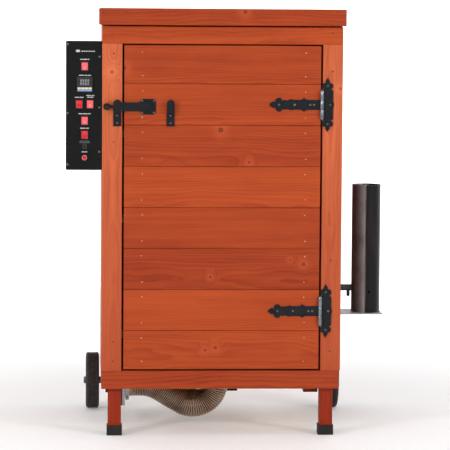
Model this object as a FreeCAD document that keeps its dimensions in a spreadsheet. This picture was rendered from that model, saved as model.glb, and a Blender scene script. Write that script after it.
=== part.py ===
import FreeCAD, Part
import math
import os
import re

from FreeCAD import Placement, Rotation, Vector

# A wooden cabinet smoker on two legs and two wheels, with an electric control panel on its left
# side, a smoke generator tube on its right side and a fan that blows warm air in from below.
#
# X runs to the right, Y runs back from the cabinet's front face and Z runs up. The formulas below
# measure X from the cabinet's middle and Y from its front face. Every placement then takes
# centre_x and centre_y off, so that the origin is on the ground below the middle of the object.

doc = FreeCAD.newDocument("cabinet_smoker")
sheet = doc.addObject("Spreadsheet::Sheet", "Dimensions")

SIZES = {
    # place of the origin
    "centre_x": 24, "centre_y": 303.75,
    # cabinet
    "half_width": 360, "cabinet_depth": 580, "body_bottom": 144, "body_top": 1236,
    "board": 20, "post": 40, "post_outer": 340, "wall_courses": 9, "seam": 1,
    "rear_post_bottom": 55, "floor_bottom": 177, "floor_thick": 18,
    # face frame
    "opening_half": 300, "rail_tall": 55.5, "bottom_rail_tall": 55, "rail_short": 4.5,
    # lid
    "lid_top": 1286, "fascia_tall": 50, "lid_side_over": 8, "lid_front_over": 14,
    "roof_boards": 5,
    # feet
    "foot_size": 46, "foot_tall": 30, "foot_floor": 4,
    # door
    "door_left": -294, "door_right": 294, "door_bottom": 203, "door_top": 1176.5,
    "door_courses": 8, "board_pitch": 123.5, "top_board": 115, "ledger_wide": 40, "ledger_margin": 14,
    "left_ledger_x": -260, "right_ledger_x": 229,
    # hinges
    "hinge_x": 297, "hinge_y": -6, "upper_hinge_z": 1001, "lower_hinge_z": 380,
    "plate": 3, "knuckle_radius": 5.5, "knuckle_bore": 3.2, "pin_radius": 3, "barrel_long": 84,
    "knuckle_gap": 0.5, "leaf_reach": 37, "strap_reach": 153,
    # latch
    "latch_x": -223, "latch_z": 993, "latch_plate_size": 47, "latch_corner": 7,
    "bar_tall": 26, "bar_thick": 6, "bar_reach": 104, "bar_front": -12, "bar_knob_radius": 10.5,
    "bar_knob_x": -346, "jamb_hook_x": -314.7, "door_hook_x": -156, "hook_wide": 24,
    "hook_bottom": 934.5, "hook_top": 1014.5, "hook_ledge": 978, "hook_depth": 18,
    # control panel
    "panel_left": -468, "panel_bottom": 803, "panel_top": 1188, "panel_front": 3,
    "panel_thick": 2, "panel_corner": 4, "box_deep": 70, "box_inset": 4, "sheet_metal": 2,
    "bezel_wide": 22, "bezel_tall": 29.5, "sleeve_wall": 1, "sleeve_deep": 17,
    "rocker_wide": 17.8, "rocker_hole_tall": 26,
    "controller_wide": 46, "controller_tall": 44, "controller_deep": 45,
    "key_wide": 9.6, "key_tall": 5.6, "dial_radius": 8,
    # smoke generator
    "tube_x": 468, "generator_y": 290, "tube_radius": 44.45, "tube_wall": 2,
    "tube_bottom": 344, "tube_top": 743, "outlet_z": 419, "outlet_radius": 10, "hole_radius": 4,
    "shelf_reach": 156, "shelf_deep": 120, "shelf_thick": 3, "shelf_flange": 47,
    # fan, hose and heater
    "air_y": 290, "fan_z": 117, "fan_size": 120, "fan_left": -331, "fan_thick": 38,
    "fan_bore": 56, "fan_hub": 21, "rotor_radius": 54, "rotor_blades": 7,
    "adapter_thick": 8, "spigot_radius": 37.8, "spigot_long": 30,
    "hose_radius": 40, "hose_wall": 2, "clamp_thick": 2, "clamp_wide": 12, "clamp_room": 0.3,
    "heater_half": 70, "heater_bottom": 146, "heater_top": 260, "heater_flange": 15,
    "element_ring": 45, "element_radius": 4,
    # wheels
    "wheel_inner": 364, "wheel_wide": 42, "wheel_radius": 90, "axle_y": 540, "axle_z": 90,
    "axle_radius": 6, "axle_reach": 412, "cap_radius": 11, "rim_radius": 62, "hub_radius": 18,
    "bracket_thick": 3, "centre_bracket_x": 45, "centre_bracket_wide": 38,
    # inside
    "runner": 20, "runner_front": 62, "runner_back": 518, "tray_z": 310, "rack_z": 660,
    "top_runner_z": 920, "rack_half": 296, "rack_front": 66, "rack_back": 514,
    "rack_rim": 3, "rack_wire": 1.5, "rack_wires": 19, "tray_half": 288, "tray_deep": 30,
    # smoke vent in the back
    "vent_z": 1120, "vent_bore": 38, "vent_plate": 60, "damper_radius": 43, "damper_arm": 52,
}

for row, (alias, value) in enumerate(SIZES.items(), start=1):
    sheet.set(f"A{row}", alias)
    sheet.set(f"B{row}", str(value))
    sheet.setAlias(f"B{row}", alias)
doc.recompute()

ALIAS_WORD = re.compile(r"\b(" + "|".join(SIZES) + r")\b")
NODES = []


def in_sheet(formula):
    """The formula with each alias written as FreeCAD needs it, Dimensions.alias."""
    return ALIAS_WORD.sub(r"Dimensions.\1", str(formula))


def size(alias):
    """A driving dimension as a number, for outlines and counts."""
    return float(sheet.get(alias))


def bind(item, **links):
    for path, formula in links.items():
        item.setExpression(path, in_sheet(formula))


def put(item, x, y, z):
    """Place an item by formulas from the cabinet's middle, its front face and the ground."""
    item.setExpression("Placement.Base.x", in_sheet(f"({x}) - centre_x"))
    item.setExpression("Placement.Base.y", in_sheet(f"({y}) - centre_y"))
    item.setExpression("Placement.Base.z", in_sheet(z))
    return item


def box(name, x, y, z):
    """A box. Each of x, y and z is a pair of formulas, for its low and its high face."""
    item = doc.addObject("Part::Box", name)
    spans = [f"({high}) - ({low})" for low, high in (x, y, z)]
    bind(item, Length=spans[0], Width=spans[1], Height=spans[2])
    return put(item, x[0], y[0], z[0])


TURNS = {"X": Rotation(Vector(0, 1, 0), 90), "Y": Rotation(Vector(1, 0, 0), -90), "Z": Rotation()}


def along(axis, start, centre):
    """The x, y and z of a line's start, from where it is along its axis and across it."""
    if axis == "X":
        return (start, *centre)
    if axis == "Y":
        return (centre[0], start, centre[1])
    return (*centre, start)


def rod(name, axis, radius, ends, centre):
    """A cylinder along an axis between two formulas, with its centre at the other two."""
    item = doc.addObject("Part::Cylinder", name)
    item.Placement = Placement(Vector(), TURNS[axis])
    bind(item, Radius=radius, Height=f"({ends[1]}) - ({ends[0]})")
    return put(item, *along(axis, ends[0], centre))


def group(name, parts):
    """Several solids that make one sub-part."""
    item = doc.addObject("Part::Compound", name)
    item.Links = parts
    return item


def fuse(name, *parts):
    item = doc.addObject("Part::MultiFuse", name)
    item.Shapes = parts
    return item


def cut(name, base, *tools):
    item = doc.addObject("Part::Cut", name)
    item.Base = base
    item.Tool = tools[0] if len(tools) == 1 else group(name + "Tools", tools)
    return item


def tube(name, axis, radius, wall, ends, centre):
    """A hollow cylinder, open at both ends."""
    outer = rod(name + "Outer", axis, radius, ends, centre)
    inner = rod(name + "Inner", axis, f"({radius}) - ({wall})", ends, centre)
    return cut(name, outer, inner)


def side(sign, low, high):
    """A pair of formulas on the right, sign 1, or mirrored to the left, sign -1."""
    return (low, high) if sign > 0 else (f"-({high})", f"-({low})")


def node(label, item):
    """Make an item a sub-part: its label names its file."""
    item.Label = label
    NODES.append(item)
    return item


# Outlines. A step is a point, which a straight line goes to, or a pair of points, which an arc
# goes through and to.

def edges_along(steps):
    """The lines and arcs of a closed outline in a sketch's own plane."""
    edges = []
    here = Vector(*steps[-1][-1]) if isinstance(steps[-1][0], tuple) else Vector(*steps[-1])
    for step in steps:
        if isinstance(step[0], tuple):
            middle, end = (Vector(*point) for point in step)
            edges.append(Part.Arc(here, middle, end))
        else:
            end = Vector(*step)
            edges.append(Part.LineSegment(here, end))
        here = end
    return edges


def sketch_on(body, plane, edges):
    """A sketch on one of a body's own origin planes."""
    sketch = body.newObject("Sketcher::SketchObject", body.Name + "Sketch")
    origin = [item for item in body.Origin.OriginFeatures if item.Role == plane]
    sketch.AttachmentSupport = (origin[0], [""])
    sketch.MapMode = "FlatFace"
    sketch.addGeometry(edges, False)
    return sketch


def padded(name, plane, thickness, place, *outlines):
    """A plate: an outline, and any holes in it, raised by a thickness from its plane."""
    body = doc.addObject("PartDesign::Body", name)
    edges = [edge for outline in outlines for edge in outline]
    pad = body.newObject("PartDesign::Pad", name + "Pad")
    pad.Profile = sketch_on(body, plane, edges)
    bind(pad, Length=thickness)
    return put(body, *place)


def turned(name, place, axis, steps):
    """A piece turned about an axis of its XZ plane: H_Axis is its X and V_Axis its Z."""
    body = doc.addObject("PartDesign::Body", name)
    sketch = sketch_on(body, "XZ_Plane", edges_along(steps))
    revolution = body.newObject("PartDesign::Revolution", name + "Turn")
    revolution.Profile = sketch
    revolution.ReferenceAxis = (sketch, [axis])
    revolution.Angle = 360
    return put(body, *place)


def mirrored_outline(steps):
    """A closed outline from its half above the x axis, which starts on that axis."""
    def flip(point):
        return (point[0], -point[1])

    ends = [step[-1] if isinstance(step[0], tuple) else step for step in steps]
    below = [flip(ends[-1])]
    for step, end in zip(reversed(steps[1:]), reversed(ends[:-1])):
        below.append((flip(step[0]), flip(end)) if isinstance(step[0], tuple) else flip(end))
    return steps[1:] + below


def rounded_rectangle(x, y, radius):
    """A rectangle with rounded corners, between two numbers along each axis."""
    corner = radius * (1 - math.sqrt(0.5))
    (left, right), (low, high) = x, y
    return [
        (right - radius, low),
        ((right - corner, low + corner), (right, low + radius)),
        (right, high - radius),
        ((right - corner, high - corner), (right - radius, high)),
        (left + radius, high),
        ((left + corner, high - corner), (left, high - radius)),
        (left, low + radius),
        ((left + corner, low + corner), (left + radius, low)),
    ]


# Cabinet: posts, boards and face frame.

def corner_posts():
    """Front posts reach into the rubber feet; rear posts end at the axle, which goes through."""
    posts = []
    for sign, name in ((-1, "Left"), (1, "Right")):
        across = side(sign, "post_outer - post", "post_outer")
        front = box(f"{name}FrontPost", across, ("board", "board + post"),
                    ("foot_floor", "lid_top - board"))
        rear = box(f"{name}RearPost", across, ("axle_y - post / 2", "axle_y + post / 2"),
                   ("rear_post_bottom", "lid_top - board"))
        bore = rod(f"{name}PostBore", "X", "axle_radius + 0.05", side(sign, "post", "half_width"),
                   ("axle_y", "axle_z"))
        posts += [front, cut(f"{name}RearPostBored", rear, bore)]
    return group("CornerPosts", posts)


def foot_caps():
    caps = []
    for sign, name in ((-1, "Left"), (1, "Right")):
        middle = f"{sign} * (post_outer - post / 2)"
        outer = box(f"{name}Foot", (f"{middle} - foot_size / 2", f"{middle} + foot_size / 2"),
                    ("board + post / 2 - foot_size / 2", "board + post / 2 + foot_size / 2"),
                    ("0", "foot_tall"))
        inner = box(f"{name}FootInside", side(sign, "post_outer - post", "post_outer"),
                    ("board", "board + post"), ("foot_floor", "foot_tall"))
        caps.append(cut(f"{name}FootCap", outer, inner))
    return group("FootCaps", caps)


def courses(name, x, y):
    """Horizontal boards one above the other, from the body's bottom to its top."""
    pitch = "(body_top - body_bottom) / wall_courses"
    boards = []
    for course in range(int(size("wall_courses"))):
        low = f"body_bottom + {course} * {pitch}"
        boards.append(box(f"{name}{course + 1}", x, y, (f"{low} + seam", f"{low} + {pitch}")))
    return boards


def wall_boards():
    """Boards nailed across the posts. The smoke pipe goes through the right wall."""
    depth = ("board", "cabinet_depth")
    node("left_wall_boards", group("LeftWall", courses("LeftBoard", ("-half_width", "-post_outer"), depth)))
    right = group("RightWallWhole", courses("RightBoard", ("post_outer", "half_width"), depth))
    pipe_hole = rod("PipeHole", "X", "outlet_radius + 0.05", ("opening_half", "half_width + board"),
                    ("generator_y", "outlet_z"))
    node("right_wall_boards", cut("RightWall", right, pipe_hole))
    back = group("BackWallWhole", courses("BackBoard", ("-post_outer", "post_outer"),
                                          ("cabinet_depth - board", "cabinet_depth")))
    vent_hole = rod("VentHole", "Y", "vent_bore", ("cabinet_depth - post", "cabinet_depth + post"),
                    ("0", "vent_z"))
    node("back_wall_boards", cut("BackWall", back, vent_hole))


def face_frame():
    """Two jambs between a top and a bottom rail, flush with the door."""
    depth = ("0", "board")
    low, high = "body_bottom + bottom_rail_tall", "body_top - rail_tall"
    jambs = [box(f"{name}Jamb", side(sign, "opening_half", "half_width"), depth, (low, high))
             for sign, name in ((-1, "Left"), (1, "Right"))]
    node("door_jambs", group("DoorJambs", jambs))
    node("top_rail", box("TopRail", ("-half_width", "half_width"), depth, (high, "body_top")))
    node("bottom_rail", box("BottomRail", ("-half_width", "half_width - rail_short"), depth,
                            ("body_bottom", low)))


def floor_panel():
    """A panel between the walls, notched round the posts, with a hole for the heater."""
    height = ("floor_bottom", "floor_bottom + floor_thick")
    lengthwise = box("FloorLengthwise", ("-opening_half", "opening_half"),
                     ("board", "cabinet_depth - board"), height)
    crosswise = box("FloorCrosswise", ("-post_outer", "post_outer"),
                    ("board + post", "axle_y - post / 2"), height)
    hole = box("HeaterHole", ("-heater_half", "heater_half"),
               ("air_y - heater_half", "air_y + heater_half"), ("floor_bottom", "heater_top"))
    return cut("FloorPanel", fuse("FloorWhole", lengthwise, crosswise), hole)


def lid():
    """Roof boards inside a fascia frame that overhangs the body."""
    outer = "half_width + lid_side_over"
    front, back = "-lid_front_over", "cabinet_depth + lid_side_over"
    height = ("lid_top - fascia_tall", "lid_top")
    across = (f"-({outer})", outer)
    along_side = (f"{front} + board", f"{back} - board")
    fascia = [box("FrontFascia", across, (front, f"{front} + board"), height),
              box("BackFascia", across, (f"{back} - board", back), height)]
    fascia += [box(f"{name}Fascia", side(sign, f"{outer} - board", outer), along_side, height)
               for sign, name in ((-1, "Left"), (1, "Right"))]
    node("lid_fascia", group("LidFascia", fascia))

    inner = f"{outer} - board"
    pitch = f"(({along_side[1]}) - ({along_side[0]})) / roof_boards"
    boards = []
    for course in range(int(size("roof_boards"))):
        start = f"{along_side[0]} + {course} * {pitch}"
        boards.append(box(f"RoofBoard{course + 1}", (f"-({inner})", inner),
                          (start, f"{start} + {pitch} - seam"), ("lid_top - board", "lid_top")))
    node("lid_boards", group("LidBoards", boards))


node("corner_posts", corner_posts())
node("foot_caps", foot_caps())
wall_boards()
face_frame()
node("floor_panel", floor_panel())
lid()


# Door: tongue-and-groove boards on two ledgers.

def door():
    boards = []
    count = int(size("door_courses"))
    for course in range(count):
        above = count - 1 - course
        low = f"door_top - top_board - {above} * board_pitch" if course else "door_bottom"
        high = f"door_top - top_board - {above - 1} * board_pitch" if above else "door_top"
        boards.append(box(f"DoorBoard{course + 1}", ("door_left", "door_right"), ("0", "board"),
                          (f"{low} + seam", high)))
    node("door_boards", group("DoorBoards", boards))
    ledgers = [box(f"{name}Ledger", (left, f"{left} + ledger_wide"), ("board", "2 * board"),
                   ("door_bottom + ledger_margin", "door_top - ledger_margin"))
               for name, left in (("Left", "left_ledger_x"), ("Right", "right_ledger_x"))]
    node("door_ledgers", group("DoorLedgers", ledgers))


door()


# Hinges: an ornate strap on the door and an ornate leaf on the jamb, on one pin each. Their
# outlines are measured from the pin, X to the right.

def strap_outline():
    reach = size("knuckle_radius") + size("strap_reach")
    half = [
        (0, 0), (11.5, 9.6), (18.5, 8), ((22, 17.5), (30, 20.5)),
        ((36.5, 18.6), (39, 12.5)), ((47, 14.4), (55, 12.5)), ((64, 16.4), (73, 15)), (85, 15),
        ((98, 16.2), (105, 21)), ((112, 16.2), (117, 15)), (reach, 15),
    ]

    def from_pin(point):
        return (point[0] - reach, point[1])

    steps = [tuple(map(from_pin, step)) if isinstance(step[0], tuple) else from_pin(step)
             for step in half]
    return mirrored_outline(steps)


def leaf_outline():
    """A pointed body with a lobed spade above it and below it."""
    tip_x, reach = 17, size("leaf_reach")
    spade = [(10, 47.5), (17.2, 55.5), (13, 64.5), (5, 66.5), (7.4, 69.5), (0, 81)]

    def right(point):
        return (tip_x + point[0], point[1])

    def left(point):
        return (tip_x - point[0], point[1])

    neck, lobe, shoulder, pinch, bud, tip = spade
    half = [
        (reach, 0), ((34.8, 9), (34, 22)), (34, 42), right(neck),
        (right(lobe), right(shoulder)), right(pinch), right(bud), right(tip), left(bud),
        left(pinch), left(shoulder), (left(lobe), left(neck)), (0, 42),
    ]
    return mirrored_outline(half)


def knuckle_spans():
    """Three knuckles on a barrel: the leaf has the outer two and the strap the middle one."""
    third = "barrel_long / 6"
    return {"Low": ("-barrel_long / 2", f"-{third} - knuckle_gap / 2"),
            "Middle": (f"-{third} + knuckle_gap / 2", f"{third} - knuckle_gap / 2"),
            "High": (f"{third} + knuckle_gap / 2", "barrel_long / 2")}


def hinge_half(name, outline, height, own, others):
    """A plate with its own knuckles, cut back round the other half's knuckles and the pin."""
    centre = ("hinge_x", "hinge_y")
    spans = {key: (f"{height} + ({low})", f"{height} + ({high})")
             for key, (low, high) in knuckle_spans().items()}
    flat = padded(name + "Plate", "XZ_Plane", "plate", ("hinge_x", "0", height),
                  edges_along(outline))
    reliefs = [rod(f"{name}{key}Relief", "Z", "knuckle_radius + 2 * knuckle_gap",
                   (f"{spans[key][0]} - knuckle_gap", f"{spans[key][1]} + knuckle_gap"), centre)
               for key in others]
    knuckles = [rod(f"{name}{key}Knuckle", "Z", "knuckle_radius", spans[key], centre)
                for key in own]
    bore = rod(name + "Bore", "Z", "knuckle_bore",
               (f"{height} - barrel_long", f"{height} + barrel_long"), centre)
    relieved = cut(name + "Relieved", flat, *reliefs)
    return cut(name, fuse(name + "Whole", relieved, *knuckles), bore)


def hinges():
    pins = []
    for name, height in (("Upper", "upper_hinge_z"), ("Lower", "lower_hinge_z")):
        leaf = hinge_half(name + "Leaf", leaf_outline(), height, ("Low", "High"), ("Middle",))
        strap = hinge_half(name + "Strap", strap_outline(), height, ("Middle",), ("Low", "High"))
        node(f"{name.lower()}_hinge_leaf", leaf)
        node(f"{name.lower()}_hinge_strap", strap)
        reach = "(barrel_long / 2 + plate)"
        pins.append(rod(name + "Pin", "Z", "pin_radius",
                        (f"{height} - {reach}", f"{height} + {reach}"), ("hinge_x", "hinge_y")))
    node("hinge_pins", group("HingePins", pins))


hinges()


# Latch: a bar that turns over the top on a plate, from the jamb's hook to the door's own hook.

def latch_plate():
    """A square plate with cut corners, which carries the bar's pivot."""
    half, corner = size("latch_plate_size") / 2, size("latch_corner")
    outline = [(half - corner, half), (half, half - corner), (half, corner - half),
               (half - corner, -half), (corner - half, -half), (-half, corner - half),
               (-half, half - corner), (corner - half, half)]
    centre = ("latch_x", "latch_z")
    flat = padded("LatchPlate", "XZ_Plane", "plate", ("latch_x", "0", "latch_z"),
                  edges_along(outline))
    spacer = rod("LatchSpacer", "Y", "8", ("bar_front + bar_thick + 0.2", "-plate"), centre)
    pivot = rod("LatchPivot", "Y", "4", ("bar_front - 0.2", "-plate"), centre)
    head = rod("LatchPivotHead", "Y", "6.5", ("bar_front - 2.7", "bar_front - 0.2"), centre)
    return fuse("LatchPlateWhole", flat, spacer, pivot, head)


def latch_bar():
    """A flat bar with a rounded pivot end, a short neck and a ball knob."""
    centre = ("latch_x", "latch_z")
    depth = ("bar_front", "bar_front + bar_thick")
    flat = box("LatchFlat", ("latch_x - bar_reach", "latch_x"), depth,
               ("latch_z - bar_tall / 2", "latch_z + bar_tall / 2"))
    eye = rod("LatchEye", "Y", "bar_tall / 2", depth, centre)
    bore = rod("LatchBore", "Y", "4.05", ("bar_front - 5", "bar_front + 5 + bar_thick"), centre)
    neck_y = "bar_front + bar_thick / 2"
    neck = rod("LatchNeck", "X", "4.5", ("bar_knob_x", "latch_x - bar_reach"), (neck_y, "latch_z"))
    ball = doc.addObject("Part::Sphere", "LatchBall")
    bind(ball, Radius="bar_knob_radius")
    ball.Placement = Placement(Vector(), Rotation(Vector(0, 0, 1), 180))
    put(ball, "bar_knob_x", "bar_front", "latch_z")
    return cut("LatchBar", fuse("LatchBarWhole", flat, eye, neck, ball), bore)


def hook(name, middle):
    """A hook bent up from a plate, with its lip in front of the bar and a rounded top."""
    across = (f"{middle} - hook_wide / 2", f"{middle} + hook_wide / 2")
    back = box(name + "Back", across, ("-plate", "0"), ("hook_bottom", "hook_ledge"))
    ledge = box(name + "Ledge", across, ("-hook_depth", "0"), ("hook_ledge - plate", "hook_ledge"))
    lip = box(name + "Lip", across, ("-hook_depth", "plate - hook_depth"),
              ("hook_ledge - plate", "hook_top - hook_wide / 2"))
    crown = rod(name + "Crown", "Y", "hook_wide / 2", ("-hook_depth", "plate - hook_depth"),
                (middle, "hook_top - hook_wide / 2"))
    return fuse(name, back, ledge, lip, crown)


node("latch_plate", latch_plate())
node("latch_bar", latch_bar())
node("jamb_hook", hook("JambHook", "jamb_hook_x"))
node("door_hook", hook("DoorHook", "door_hook_x"))


# Screws that show: round heads on the plates that they hold.

def screw_heads(name, spots, radius=4, high=2):
    """Heads at (x, z) formulas, standing out from a plate's front face at y."""
    return [rod(f"{name}{index}", "Y", radius, (f"{y} - {high}", y), (x, z))
            for index, (x, y, z) in enumerate(spots, start=1)]


def hook_screws(middle):
    return [(middle, "-plate", f"hook_bottom + {rise}") for rise in (10, 32)]


def screws():
    on_frame = hook_screws("jamb_hook_x")
    on_door = hook_screws("door_hook_x")
    reach = size("knuckle_radius") + size("strap_reach")
    for height in ("upper_hinge_z", "lower_hinge_z"):
        on_frame += [("hinge_x + 17", "-plate", f"{height} + {rise}") for rise in (-57, 57)]
        on_frame.append(("hinge_x + 25", "-plate", height))
        on_door += [(f"hinge_x - {reach - from_tip}", "-plate", height)
                    for from_tip in (30, 77, 118, 134)]
    corner = "(latch_plate_size / 2 - 6)"
    on_door += [(f"latch_x + {across} * {corner}", "-plate", f"latch_z + {up} * {corner}")
                for across in (-1, 1) for up in (-1, 1)]
    panel_screws = [("panel_left + 5", "panel_front", f"panel_top - {drop}")
                    for drop in (10, 215, 368)]
    panel_screws += [("-half_width - 8", "panel_front", f"panel_top - {drop}")
                     for drop in (47, 198, 330)]
    node("frame_screws", group("FrameScrews", screw_heads("FrameScrew", on_frame, 3.2)
                               + screw_heads("PanelScrew", panel_screws, 3, 1.5)))
    node("door_screws", group("DoorScrews", screw_heads("DoorScrew", on_door, 3.2)))


screws()


# Control panel: a plate over a box, with five rockers, a socket, a controller and a dial. A
# control's place is its middle, across from the panel's left edge and down from its top.

CONTROLS = {
    "upper_rocker": (56, 74), "middle_left_rocker": (40, 187), "middle_right_rocker": (72, 187),
    "lower_rocker": (56, 236), "bottom_rocker": (56, 278),
    "controller": (56, 130), "socket": (56, 314), "dial": (56, 348),
}
ROCKERS = [name for name in CONTROLS if name.endswith("rocker")]
ROCKER_TILT = 8
ROCKER_PIVOT_Y = 8
PIN_RADIUS, PIN_ROOM = 1.5, 0.2


def control_spot(name):
    across, down = CONTROLS[name]
    return f"panel_left + {across}", f"panel_top - {down}"


def around(name, wide, tall):
    """The x and z pairs of a rectangle about a control's middle."""
    x, z = control_spot(name)
    return ((f"{x} - ({wide}) / 2", f"{x} + ({wide}) / 2"),
            (f"{z} - ({tall}) / 2", f"{z} + ({tall}) / 2"))


def rocker(name):
    """A paddle with two slanting halves, resting with its top half out."""
    def tilted(depth, rise):
        angle = math.radians(ROCKER_TILT)
        return (ROCKER_PIVOT_Y + depth * math.cos(angle) - rise * math.sin(angle),
                depth * math.sin(angle) + rise * math.cos(angle))

    body_name = "".join(word.title() for word in name.split("_"))
    outline = [tilted(*point) for point in
               ((-9, 11.4), (-6.6, 0), (-9, -11.4), (3, -7), (3, 7))]
    x, z = control_spot(name)
    paddle = padded(body_name + "Paddle", "YZ_Plane", "rocker_wide",
                    (f"{x} - rocker_wide / 2", "0", z), edges_along(outline))
    pins = rod(body_name + "Pins", "X", str(PIN_RADIUS),
               (f"{x} - rocker_wide / 2 - 1", f"{x} + rocker_wide / 2 + 1"),
               (str(ROCKER_PIVOT_Y), z))
    return fuse(body_name, paddle, pins)


def bezel(name, wide="bezel_wide", tall="bezel_tall", inner_wide="rocker_wide + 0.6",
          inner_tall="rocker_hole_tall"):
    """A frame on the panel with a sleeve through it, which carries the rocker's pins."""
    label = "".join(word.title() for word in name.split("_"))
    back = "panel_front + sleeve_deep"
    outer_x, outer_z = around(name, wide, tall)
    outer = box(label + "BezelOuter", outer_x, ("panel_front - 2", "panel_front"), outer_z)
    sleeve_x, sleeve_z = around(name, f"{inner_wide} + 2 * sleeve_wall",
                                f"{inner_tall} + 2 * sleeve_wall")
    sleeve = box(label + "Sleeve", sleeve_x, ("panel_front", back), sleeve_z)
    inner_x, inner_z = around(name, inner_wide, inner_tall)
    inner = box(label + "BezelInner", inner_x, ("panel_front - 5", back + " + 5"), inner_z)
    hollows = [inner]
    if name in ROCKERS:
        middle, level = control_spot(name)
        hollows.append(rod(label + "PinHoles", "X", str(PIN_RADIUS + PIN_ROOM),
                           (f"{middle} - {wide}", f"{middle} + {wide}"),
                           (str(ROCKER_PIVOT_Y), level)))
    return cut(label + "Bezel", fuse(label + "BezelWhole", outer, sleeve), *hollows)


def panel_openings():
    holes = []
    for name in ROCKERS:
        x, z = around(name, "rocker_wide + 0.8 + 2 * sleeve_wall",
                      "rocker_hole_tall + 0.2 + 2 * sleeve_wall")
        holes.append(box(name.title().replace("_", "") + "Hole", x, ("0", "box_deep / 2"), z))
    x, z = around("controller", "controller_wide - 4", "controller_tall - 4")
    holes.append(box("ControllerHole", x, ("0", "box_deep / 2"), z))
    holes.append(rod("DialHole", "Y", "3.2", ("0", "box_deep / 2"), control_spot("dial")))
    x, z = around("socket", "10.2", "12.2")
    holes.append(box("SocketHole", x, ("0", "box_deep / 2"), z))
    return holes


def control_panel():
    """A plate with rounded corners. It and the box behind it hang on the left wall."""
    width = -size("half_width") - size("panel_left")
    tall = size("panel_top") - size("panel_bottom")
    outline = rounded_rectangle((0, width), (0, tall), size("panel_corner"))
    flat = padded("ControlPlate", "XZ_Plane", "panel_thick",
                  ("panel_left", "panel_front + panel_thick", "panel_bottom"),
                  edges_along(outline))
    node("control_panel", cut("ControlPanel", flat, *panel_openings()))

    front = "panel_front + panel_thick"
    outer = box("ControlBoxOuter", ("panel_left + box_inset", "-half_width"),
                (front, "panel_front + box_deep"),
                ("panel_bottom + box_inset", "panel_top - box_inset"))
    wall = "(box_inset + sheet_metal)"
    inner = box("ControlBoxInner", (f"panel_left + {wall}", "-half_width - sheet_metal"),
                (front, "panel_front + box_deep - sheet_metal"),
                (f"panel_bottom + {wall}", f"panel_top - {wall}"))
    node("control_box", cut("ControlBox", outer, inner))


def controller():
    """A square controller whose lower band has four keys in square wells."""
    x, z = around("controller", "controller_wide", "controller_tall")
    face = box("ControllerFace", x, ("panel_front - 6", "panel_front"), z)
    inner_x, inner_z = around("controller", "controller_wide - 4.4", "controller_tall - 4.4")
    case = box("ControllerCase", inner_x, ("panel_front", "controller_deep"), inner_z)
    wells = []
    for index in range(4):
        key_x, key_z = key_place(index, "0.3")
        wells.append(box(f"KeyWell{index + 1}", key_x, ("panel_front - 7", "panel_front - 3"), key_z))
    node("temperature_controller", cut("Controller", fuse("ControllerWhole", face, case), *wells))
    for index in range(4):
        key_x, key_z = key_place(index, "0")
        node(f"controller_key_{index + 1}",
             box(f"Key{index + 1}", key_x, ("panel_front - 7.5", "panel_front - 4.2"), key_z))


def key_place(index, room):
    x, z = control_spot("controller")
    middle, level = f"{x} + {index - 1.5} * 10.8", f"{z} - 11.2"
    return ((f"{middle} - key_wide / 2 - {room}", f"{middle} + key_wide / 2 + {room}"),
            (f"{level} - key_tall / 2 - {room}", f"{level} + key_tall / 2 + {room}"))


def dial():
    """A round knob with a shaft through the panel."""
    spot = control_spot("dial")
    skirt = rod("DialSkirt", "Y", "dial_radius", ("panel_front - 3", "panel_front - 0.3"), spot)
    grip = rod("DialGrip", "Y", "dial_radius - 2", ("panel_front - 14", "panel_front - 3"), spot)
    shaft = rod("DialShaft", "Y", "3.15", ("panel_front - 3", "panel_front + 15"), spot)
    return fuse("Dial", skirt, grip, shaft)


def socket():
    """A small bezel whose sleeve is filled by the socket's insert."""
    x, z = around("socket", "8", "10")
    insert = box("SocketInsert", x, ("panel_front + 2", "panel_front + sleeve_deep"), z)
    return fuse("Socket", bezel("socket", "14", "17", "8", "10"), insert)


control_panel()
node("switch_bezels", group("Bezels", [bezel(name) for name in ROCKERS] + [socket()]))
for rocker_name in ROCKERS:
    node(rocker_name, rocker(rocker_name))
controller()
node("speed_knob", dial())


# Smoke generator: a steel tube on a shelf, with a lid inside its top and a pipe to the cabinet.

def generator_shelf():
    depth = ("generator_y - shelf_deep / 2", "generator_y + shelf_deep / 2")
    top = box("ShelfTop", ("half_width", "half_width + shelf_reach"), depth,
              ("tube_bottom - shelf_thick", "tube_bottom"))
    flange = box("ShelfFlange", ("half_width", "half_width + shelf_thick"), depth,
                 ("tube_bottom - shelf_flange", "tube_bottom"))
    return fuse("GeneratorShelf", top, flange)


def smoke_tube():
    """Closed below, with a ledge for the lid, an air hole in front and the outlet's hole."""
    centre = ("tube_x", "generator_y")
    shell = tube("TubeShell", "Z", "tube_radius", "tube_wall", ("tube_bottom", "tube_top"), centre)
    floor = rod("TubeFloor", "Z", "tube_radius - tube_wall",
                ("tube_bottom", "tube_bottom + tube_wall"), centre)
    ledge = tube("TubeLedge", "Z", "tube_radius - tube_wall", "4",
                 ("tube_top - 24", "tube_top - 20"), centre)
    air_hole = rod("TubeAirHole", "Y", "hole_radius", ("generator_y - 2 * tube_radius",
                                                       "generator_y"), ("tube_x + 7", "outlet_z - 10"))
    outlet_hole = rod("TubeOutletHole", "X", "outlet_radius - 1.5", ("half_width", "tube_x"),
                      ("generator_y", "outlet_z"))
    return cut("SmokeTube", fuse("SmokeTubeWhole", shell, floor, ledge), air_hole, outlet_hole)


def smoke_tube_lid():
    centre = ("tube_x", "generator_y")
    disc = rod("LidDisc", "Z", "tube_radius - tube_wall - 0.4",
               ("tube_top - 20", "tube_top - 17"), centre)
    stem = rod("LidStem", "Z", "3", ("tube_top - 17", "tube_top - 9"), centre)
    knob = rod("LidKnob", "Z", "8", ("tube_top - 9", "tube_top - 2"), centre)
    return fuse("SmokeTubeLid", disc, stem, knob)


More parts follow.
